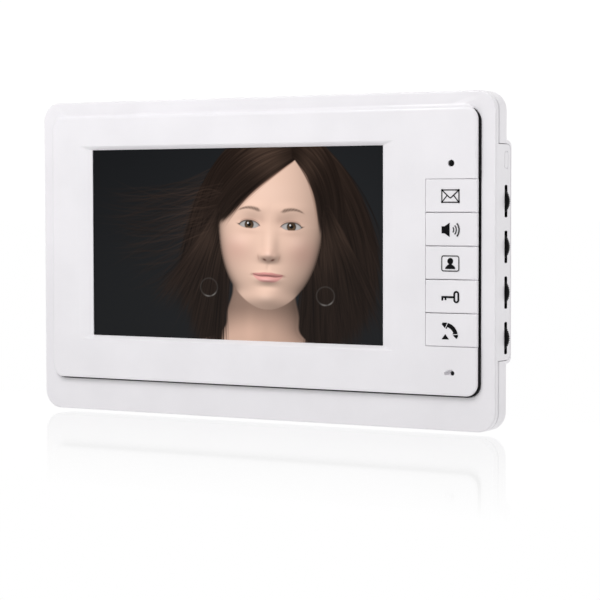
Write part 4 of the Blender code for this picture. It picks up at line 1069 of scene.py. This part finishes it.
def lay_hair(picture, guides, count, seed, base, sheen, thick, wander):
    """Many strands between guide curves; each guide is a list of four points in metres."""
    dice = np.random.default_rng(seed)
    height, width = picture.shape[:2]
    cell = ACTIVE_W / width
    guides = np.asarray(guides, float)
    batches = 14
    steps = int(np.abs(np.diff(guides, axis=1)).sum((1, 2)).max() / cell)
    t = np.linspace(0, 1, steps)[:, None]
    spread = np.array([[0.15], [0.6], [0.9], [1.3]]) * wander
    for _ in range(batches):
        rows, cols, shares, tints = [], [], [], []
        for _ in range(count // batches):
            place = dice.uniform(0, len(guides) - 1.0001)
            i, f = int(place), place % 1
            ctrl = guides[i] * (1 - f) + guides[i + 1] * f
            ctrl = ctrl + dice.normal(0, 1, (4, 2)) * spread
            p = ((1 - t) ** 3 * ctrl[0] + 3 * (1 - t) ** 2 * t * ctrl[1]
                 + 3 * (1 - t) * t * t * ctrl[2] + t ** 3 * ctrl[3])
            wave = np.sin(t[:, 0] * dice.uniform(5, 14) + dice.uniform(0, 6.3))
            p[:, 1] += wave * dice.uniform(0, 0.35) * wander
            length = np.hypot(*np.diff(p, axis=0).T).sum()
            rows.append((ACTIVE_H / 2 - p[:, 1]) / cell - 0.5)
            cols.append((p[:, 0] + ACTIVE_W / 2) / cell - 0.5)
            taper = smooth(0, 0.03, t[:, 0]) * smooth(1.0, 0.75, t[:, 0])
            shares.append(taper * length / steps / cell * thick * dice.uniform(0.4, 1.3))
            # a band of sheen where the hair bends towards the light
            band = np.exp(-((t[:, 0] - dice.normal(0.30, 0.06)) / 0.16) ** 2) * dice.uniform(0.2, 1.0)
            tone = base * dice.uniform(0.25, 1.75)
            tints.append(tone[None, :] + band[:, None] * sheen[None, :] * dice.uniform(0.2, 1.0))
        rows, cols = np.concatenate(rows), np.concatenate(cols)
        shares, tints = np.concatenate(shares), np.concatenate(tints)
        cover = splat((height, width), rows, cols, shares)
        tint = np.stack([splat((height, width), rows, cols, shares * tints[:, k]) for k in range(3)], -1)
        tint /= np.maximum(cover, 1e-6)[..., None]
        picture[:] = picture + (tint - picture) * (1 - np.exp(-cover))[..., None]


def head_point(x, y):
    """A point in head heights, in metres on the picture."""
    c, s = math.cos(HEAD_TILT), math.sin(HEAD_TILT)
    return (HEAD_X + HEAD_H * HEAD_W * (x * c - y * s), HEAD_Y + HEAD_H * (x * s + y * c))


SHADE, NO_SHEEN = np.array((0.26, 0.145, 0.105)), np.zeros(3)
# Each layer of hair: strands, seed, tone, sheen, thickness, wander, and guide curves of four points.
BEHIND_HEAD = (  # blown to the left, and falling on both sides
    (150, 11, HAIR * 1.3, HAIR_SHEEN * 0.45, 0.20, 0.0042,
     (-0.2, 0.42, -0.42, 0.3, -0.7, 0.16, -1.05, 0.14),
     (-0.28, 0.3, -0.46, 0.16, -0.72, 0.02, -1.1, -0.04),
     (-0.32, 0.1, -0.46, -0.05, -0.7, -0.16, -1.02, -0.22),
     (-0.33, -0.05, -0.44, -0.2, -0.62, -0.34, -0.9, -0.46),
     (-0.33, -0.15, -0.4, -0.3, -0.5, -0.48, -0.66, -0.66)),
    (1500, 12, HAIR, HAIR_SHEEN * 0.35, 0.9, 0.0022,
     (-0.05, 0.58, -0.38, 0.52, -0.5, 0.12, -0.52, -0.2),
     (-0.05, 0.52, -0.34, 0.42, -0.46, -0.05, -0.56, -0.42),
     (-0.05, 0.44, -0.32, 0.3, -0.4, -0.2, -0.5, -0.62),
     (-0.1, 0.3, -0.3, 0.1, -0.36, -0.3, -0.42, -0.78),
     (-0.1, 0.2, -0.26, 0.0, -0.28, -0.35, -0.3, -0.84)),
    (2300, 13, HAIR * 0.9, HAIR_SHEEN * 0.30, 0.9, 0.0026,
     (0.02, 0.58, 0.42, 0.54, 0.58, 0.16, 0.66, -0.2),
     (0.04, 0.52, 0.42, 0.42, 0.62, 0.02, 0.64, -0.48),
     (0.06, 0.44, 0.38, 0.28, 0.56, -0.2, 0.52, -0.68),
     (0.08, 0.3, 0.34, 0.1, 0.44, -0.3, 0.4, -0.8),
     (0.1, 0.2, 0.31, 0.0, 0.33, -0.35, 0.29, -0.84),
     (0.1, 0.1, 0.26, -0.1, 0.26, -0.35, 0.22, -0.84)),
)
BESIDE_NECK = (  # right and left
    (320, 14, HAIR * 0.75, HAIR_SHEEN * 0.3, 0.9, 0.0014,
     (0.18, 0.1, 0.29, -0.15, 0.27, -0.4, 0.27, -0.84),
     (0.2, 0.05, 0.32, -0.15, 0.34, -0.45, 0.4, -0.8)),
    (420, 15, HAIR * 0.9, HAIR_SHEEN * 0.3, 0.9, 0.0014,
     (-0.22, 0.1, -0.31, -0.12, -0.27, -0.42, -0.27, -0.84),
     (-0.24, 0.05, -0.37, -0.15, -0.36, -0.45, -0.42, -0.78)),
)
FRONT = (  # the fringe's shade, the sections swept from the parting, loose falls and wisps
    (160, 21, SHADE, NO_SHEEN, 0.13, 0.0012,
     (0.13, 0.405, 0.02, 0.305, -0.16, 0.195, -0.325, -0.03),
     (0.13, 0.44, 0.01, 0.345, -0.17, 0.235, -0.345, 0.0)),
    (160, 22, SHADE, NO_SHEEN, 0.13, 0.0012,
     (0.14, 0.405, 0.2, 0.355, 0.295, 0.21, 0.322, -0.05),
     (0.14, 0.44, 0.22, 0.385, 0.32, 0.24, 0.345, -0.05)),
    (2100, 16, HAIR, HAIR_SHEEN, 0.8, 0.0011,
     (0.15, 0.425, 0.02, 0.33, -0.16, 0.22, -0.335, 0.0),
     (0.15, 0.455, -0.02, 0.4, -0.24, 0.27, -0.365, 0.02),
     (0.15, 0.5, -0.07, 0.5, -0.33, 0.36, -0.4, 0.04),
     (0.15, 0.59, -0.1, 0.62, -0.42, 0.46, -0.445, 0.06)),
    (1700, 17, HAIR * 0.85, HAIR_SHEEN * 0.6, 0.8, 0.0011,
     (0.12, 0.425, 0.205, 0.37, 0.305, 0.22, 0.335, -0.04),
     (0.115, 0.455, 0.23, 0.42, 0.345, 0.27, 0.36, -0.06),
     (0.11, 0.5, 0.25, 0.49, 0.4, 0.33, 0.4, -0.06),
     (0.11, 0.59, 0.27, 0.59, 0.45, 0.42, 0.45, -0.06)),
    (240, 18, HAIR * 1.1, HAIR_SHEEN * 0.5, 0.40, 0.0028,
     (-0.325, 0.06, -0.37, -0.12, -0.4, -0.32, -0.52, -0.62),
     (-0.345, 0.1, -0.44, -0.1, -0.56, -0.28, -0.74, -0.46)),
    (420, 19, HAIR * 0.9, HAIR_SHEEN * 0.45, 0.5, 0.0034,
     (0.325, 0.06, 0.36, -0.12, 0.36, -0.32, 0.4, -0.78),
     (0.345, 0.14, 0.46, -0.04, 0.6, -0.24, 0.72, -0.56)),
    (56, 20, HAIR * 1.6, HAIR_SHEEN * 0.6, 0.20, 0.0056,
     (-0.3, 0.25, -0.48, 0.22, -0.76, 0.12, -1.15, 0.2),
     (-0.36, 0.1, -0.52, 0.02, -0.8, -0.04, -1.12, 0.0),
     (-0.36, -0.05, -0.55, -0.14, -0.78, -0.22, -1.05, -0.24)),
)


def comb(picture, layers):
    """Lay the layers of hair, whose guides are given in head heights."""
    for count, seed, base, sheen, thick, wander, *guides in layers:
        curves = [[head_point(*guide[i:i + 2]) for i in range(0, 8, 2)] for guide in guides]
        lay_hair(picture, curves, count, seed, base, sheen, thick, wander)


def paint(width, height):
    """The portrait, row by row from the top."""
    xs = (np.arange(width) + 0.5) / width * ACTIVE_W - ACTIVE_W / 2
    ys = ACTIVE_H / 2 - (np.arange(height) + 0.5) / height * ACTIVE_H
    px, py = np.meshgrid(xs, ys)
    c, s = math.cos(HEAD_TILT), math.sin(HEAD_TILT)
    dx, dy = (px - HEAD_X) / (HEAD_H * HEAD_W), (py - HEAD_Y) / HEAD_H
    x, y = dx * c + dy * s, -dx * s + dy * c
    picture = np.ones(px.shape + (3,)) * np.array(BACKDROP)
    glow = np.exp(-((px - 0.035) / 0.085) ** 2 - ((py - 0.01) / 0.065) ** 2)
    picture *= (0.78 + 0.55 * glow)[..., None]
    comb(picture, BEHIND_HEAD)
    picture = paint_neck(x, y, picture)
    comb(picture, BESIDE_NECK)
    picture = mix(picture, *paint_face(x, y))
    comb(picture, FRONT)
    for ring_x in (-0.375, 0.365):
        away = np.hypot(x - ring_x, y - RING_Y)
        turn = np.arctan2(y - RING_Y, x - ring_x)
        gleam = 0.15 + 0.85 * np.exp(-((np.abs(turn + 1.3) - 0.4) / 0.35) ** 2)
        picture = mix(picture, (0.42, 0.40, 0.38), 0.42 * gleam * np.exp(-((away - RING_R) / 0.0035) ** 2))
    return np.clip(picture, 0, 1)


def paint_neck(x, y, picture):
    across = x + 0.02
    ax = np.abs(across)
    half = 0.198 + 0.030 * smooth(-0.40, -0.55, y) + 0.46 * smooth(-0.58, -0.86, y) ** 1.5
    cover = smooth(0.008, -0.008, ax - half) * smooth(-0.20, -0.26, y)
    round_ = np.sqrt(np.clip(1 - (ax / half) ** 2, 0, 1))
    light = 0.30 + 0.60 * np.clip(0.66 * round_ - 0.30 * across / half, 0, 1)
    light *= 0.46 + 0.54 * smooth(-0.47, -0.66, y + 0.10 * (x < 0) * np.abs(x))
    light += 0.04 * hill(x, y, -0.10, -0.62, 0.03, 0.12) - 0.04 * hill(x, y, 0.0, -0.66, 0.03, 0.08)
    skin = np.array(SKIN) * np.array((0.97, 0.92, 0.90))
    return picture + (skin * light[..., None] - picture) * cover[..., None]


def picture():
    columns, rows = 540, 303
    half_w, half_h = ACTIVE_W / 2 + 0.0004, ACTIVE_H / 2 + 0.0004
    xs = np.linspace(-half_w, half_w, columns + 1)
    zs = np.linspace(-half_h, half_h, rows + 1)
    grid_x, grid_z = np.meshgrid(xs, zs)
    depth = LCD[5] + 0.00005
    points = np.stack([grid_x.ravel() + SCREEN_X, np.full(grid_x.size, -depth), grid_z.ravel() + SCREEN_Z], 1)
    index = np.arange(grid_x.size).reshape(grid_x.shape)
    faces = np.stack([index[:-1, :-1], index[:-1, 1:], index[1:, 1:], index[1:, :-1]], -1).reshape(-1, 4)
    mesh = bpy.data.meshes.new("screen_picture")
    mesh.from_pydata(points.tolist(), [], faces.tolist())
    colours = np.ones((rows + 1, columns + 1, 4), np.float32)
    colours[:, :, :3] = np.clip(paint(columns + 1, rows + 1)[::-1] - SCREEN_HAZE, 0.0, 1.0)
    layer = mesh.attributes.new("picture", "FLOAT_COLOR", "POINT")
    layer.data.foreach_set("color", colours.ravel())
    obj = bpy.data.objects.new("screen_picture", mesh)
    bpy.context.scene.collection.objects.link(obj)
    made, nodes, links, shader = new_material("lit screen")
    colour = nodes.new("ShaderNodeAttribute")
    colour.attribute_name = "picture"
    links.new(colour.outputs["Color"], shader.inputs["Emission Color"])
    fill(shader, Emission_Strength=1.0, Base_Color=(0.002, 0.002, 0.002, 1.0), Roughness=0.18,
         Specular_IOR_Level=0.10)
    attach(obj, made, "monitor")


# ---- Finishes of the CAD nodes that stay ----
def dress_cad_nodes():
    # the fascia gasket is a black rubber seal; its black line along the fascia's right and lower edges also
    # stands in for painted shade
    looks = {"fascia_gasket": RUBBER, "microphone_boot": RUBBER, "speaker_gasket": RUBBER,
             "lcd_panel": DISPLAY_BLACK, "lcd_backlight": ALUMINIUM,
             "lcd_bracket": ZINC, "speaker_basket": ZINC,
             "driver_board": BOARD, "key_board": BOARD, "main_board": BOARD, "processor_chip": EPOXY_BLACK,
             "lcd_flex": POLYIMIDE, "speaker_magnet": FERRITE, "speaker_cone": PAPER,
             "microphone": ALUMINIUM, "filter_capacitor": ALUMINIUM}
    families = {"potentiometer": EPOXY_BLACK, "tact_switch": EPOXY_BLACK, "lcd_screw": NICKEL,
                "driver_screw": NICKEL, "key_board_screw": NICKEL, "main_board_screw": NICKEL}
    for name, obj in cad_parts.items():
        look = looks.get(name) or families.get(name.rsplit("_", 1)[0])
        if look:
            obj.data.materials.clear()
            obj.data.materials.append(look)


# ---- Studio ----
FLOOR_DROP = 0.0013             # gap between the monitor's lower edge and the floor
FLOOR_REACH = 9.0               # half the floor's width
REFLECTION_REACH = 0.21         # how far in front of the monitor the floor's shine dies away
FLOOR_SHINE = 0.34
CAMERA_PLACE = (0.4844, -0.8166, 0.0252)
CAMERA_HEADING, CAMERA_PITCH, CAMERA_ROLL = 30.319, -2.704, 0.104
CAMERA_LENS, SENSOR = 123.99, 36.0
WHITE_LIGHT = (1.0, 1.0, 1.0, 1.0)


def floor():
    def build(bm):
        reach, height = FLOOR_REACH, CASE[2] - FLOOR_DROP
        corners = ((-reach, -reach), (reach, -reach), (reach, reach), (-reach, reach))
        bm.faces.new([bm.verts.new((x, y, height)) for x, y in corners])

    obj = raw("studio_floor", build)
    made, nodes, links, shader = new_material("polished white floor")
    glow = fill(nodes.new("ShaderNodeEmission"), Color=WHITE_LIGHT, Strength=1.0)
    gloss = fill(nodes.new("ShaderNodeBsdfGlossy"), Color=WHITE_LIGHT, Roughness=0.06)
    parts = nodes.new("ShaderNodeSeparateXYZ")
    links.new(nodes.new("ShaderNodeTexCoord").outputs["Object"], parts.inputs["Vector"])
    near, far = FRAME_FACE + REFLECTION_REACH, FRAME_FACE
    shift = add_range(nodes, links, parts.outputs["Y"], 0.0, 1.0, -near, near - 2 * far)
    dull, shine = (0.0,) * 3, (FLOOR_SHINE,) * 3
    fade = add_ramp(nodes, links, shift, ((0.0, dull), (0.5, shine), (0.62, shine), (0.66, dull)))
    blend = nodes.new("ShaderNodeMixShader")
    links.new(fade, blend.inputs["Fac"])
    links.new(glow.outputs["Emission"], blend.inputs[1])
    links.new(gloss.outputs["BSDF"], blend.inputs[2])
    links.new(blend.outputs["Shader"], nodes["Material Output"].inputs["Surface"])
    nodes.remove(shader)
    obj.data.materials.append(made)


def sky():
    """Even studio light: bright beyond the monitor, softer in front, brighter above than below."""
    world = bpy.data.worlds.new("studio")
    bpy.context.scene.world = world
    world.use_nodes = True
    nodes, links = world.node_tree.nodes, world.node_tree.links
    parts = nodes.new("ShaderNodeSeparateXYZ")
    links.new(nodes.new("ShaderNodeTexCoord").outputs["Generated"], parts.inputs["Vector"])
    height = add_range(nodes, links, parts.outputs["Z"], 0.08, 0.62, 0.0, 0.8)
    level = fill(nodes.new("ShaderNodeMapRange"), From_Min=0.1, From_Max=0.5, To_Max=1.03)
    links.new(parts.outputs["Y"], level.inputs["Value"])
    links.new(height, level.inputs["To Min"])
    background = fill(nodes["Background"], Color=WHITE_LIGHT)
    links.new(level.outputs["Result"], background.inputs["Strength"])


def area_light(name, place, target, size, power):
    light = bpy.data.lights.new(name, "AREA")
    light.shape = "DISK"
    light.size = size
    light.energy = power
    obj = bpy.data.objects.new(name, light)
    obj.location = place
    obj.rotation_euler = (Vector(target) - Vector(place)).to_track_quat("-Z", "Y").to_euler()
    bpy.context.scene.collection.objects.link(obj)


def camera():
    data = bpy.data.cameras.new("camera")
    data.lens = CAMERA_LENS
    data.sensor_width = SENSOR
    data.clip_start, data.clip_end = 0.01, 100.0
    obj = bpy.data.objects.new("camera", data)
    turn = (Matrix.Rotation(math.radians(CAMERA_HEADING), 4, "Z")
            @ Matrix.Rotation(math.radians(90 + CAMERA_PITCH), 4, "X")
            @ Matrix.Rotation(math.radians(-CAMERA_ROLL), 4, "Z"))
    obj.matrix_world = Matrix.Translation(CAMERA_PLACE) @ turn
    bpy.context.scene.collection.objects.link(obj)
    bpy.context.scene.camera = obj
    bpy.context.scene.view_settings.view_transform = "Standard"


camera()
fascia()
case_frame()
case_cover()
slot_shade_liners()
for key_name in KEY_NODES:
    key_cap(key_name)
for draw_sign in (envelope_sign, volume_sign, person_sign, unlock_sign, talk_sign):
    draw_sign()
for number, dial_name in enumerate(DIAL_NODES, 1):
    dial(dial_name, number)
lamp()
voice_cloth()
for number in range(1, 5):
    cross_screw(f"case_screw_{number}")
for plug, pin_count in (("door_connector_1", 4), ("door_connector_2", 4), ("power_connector", 2)):
    connector(plug, pin_count)
bracket()
picture()
dress_cad_nodes()
floor()
sky()
area_light("key", (-0.10, -0.46, 0.46), (0.0, -0.03, 0.0), 0.30, 1.95)
area_light("side", (0.60, -0.15, 0.45), (0.12, -0.02, 0.03), 0.40, 0.5)
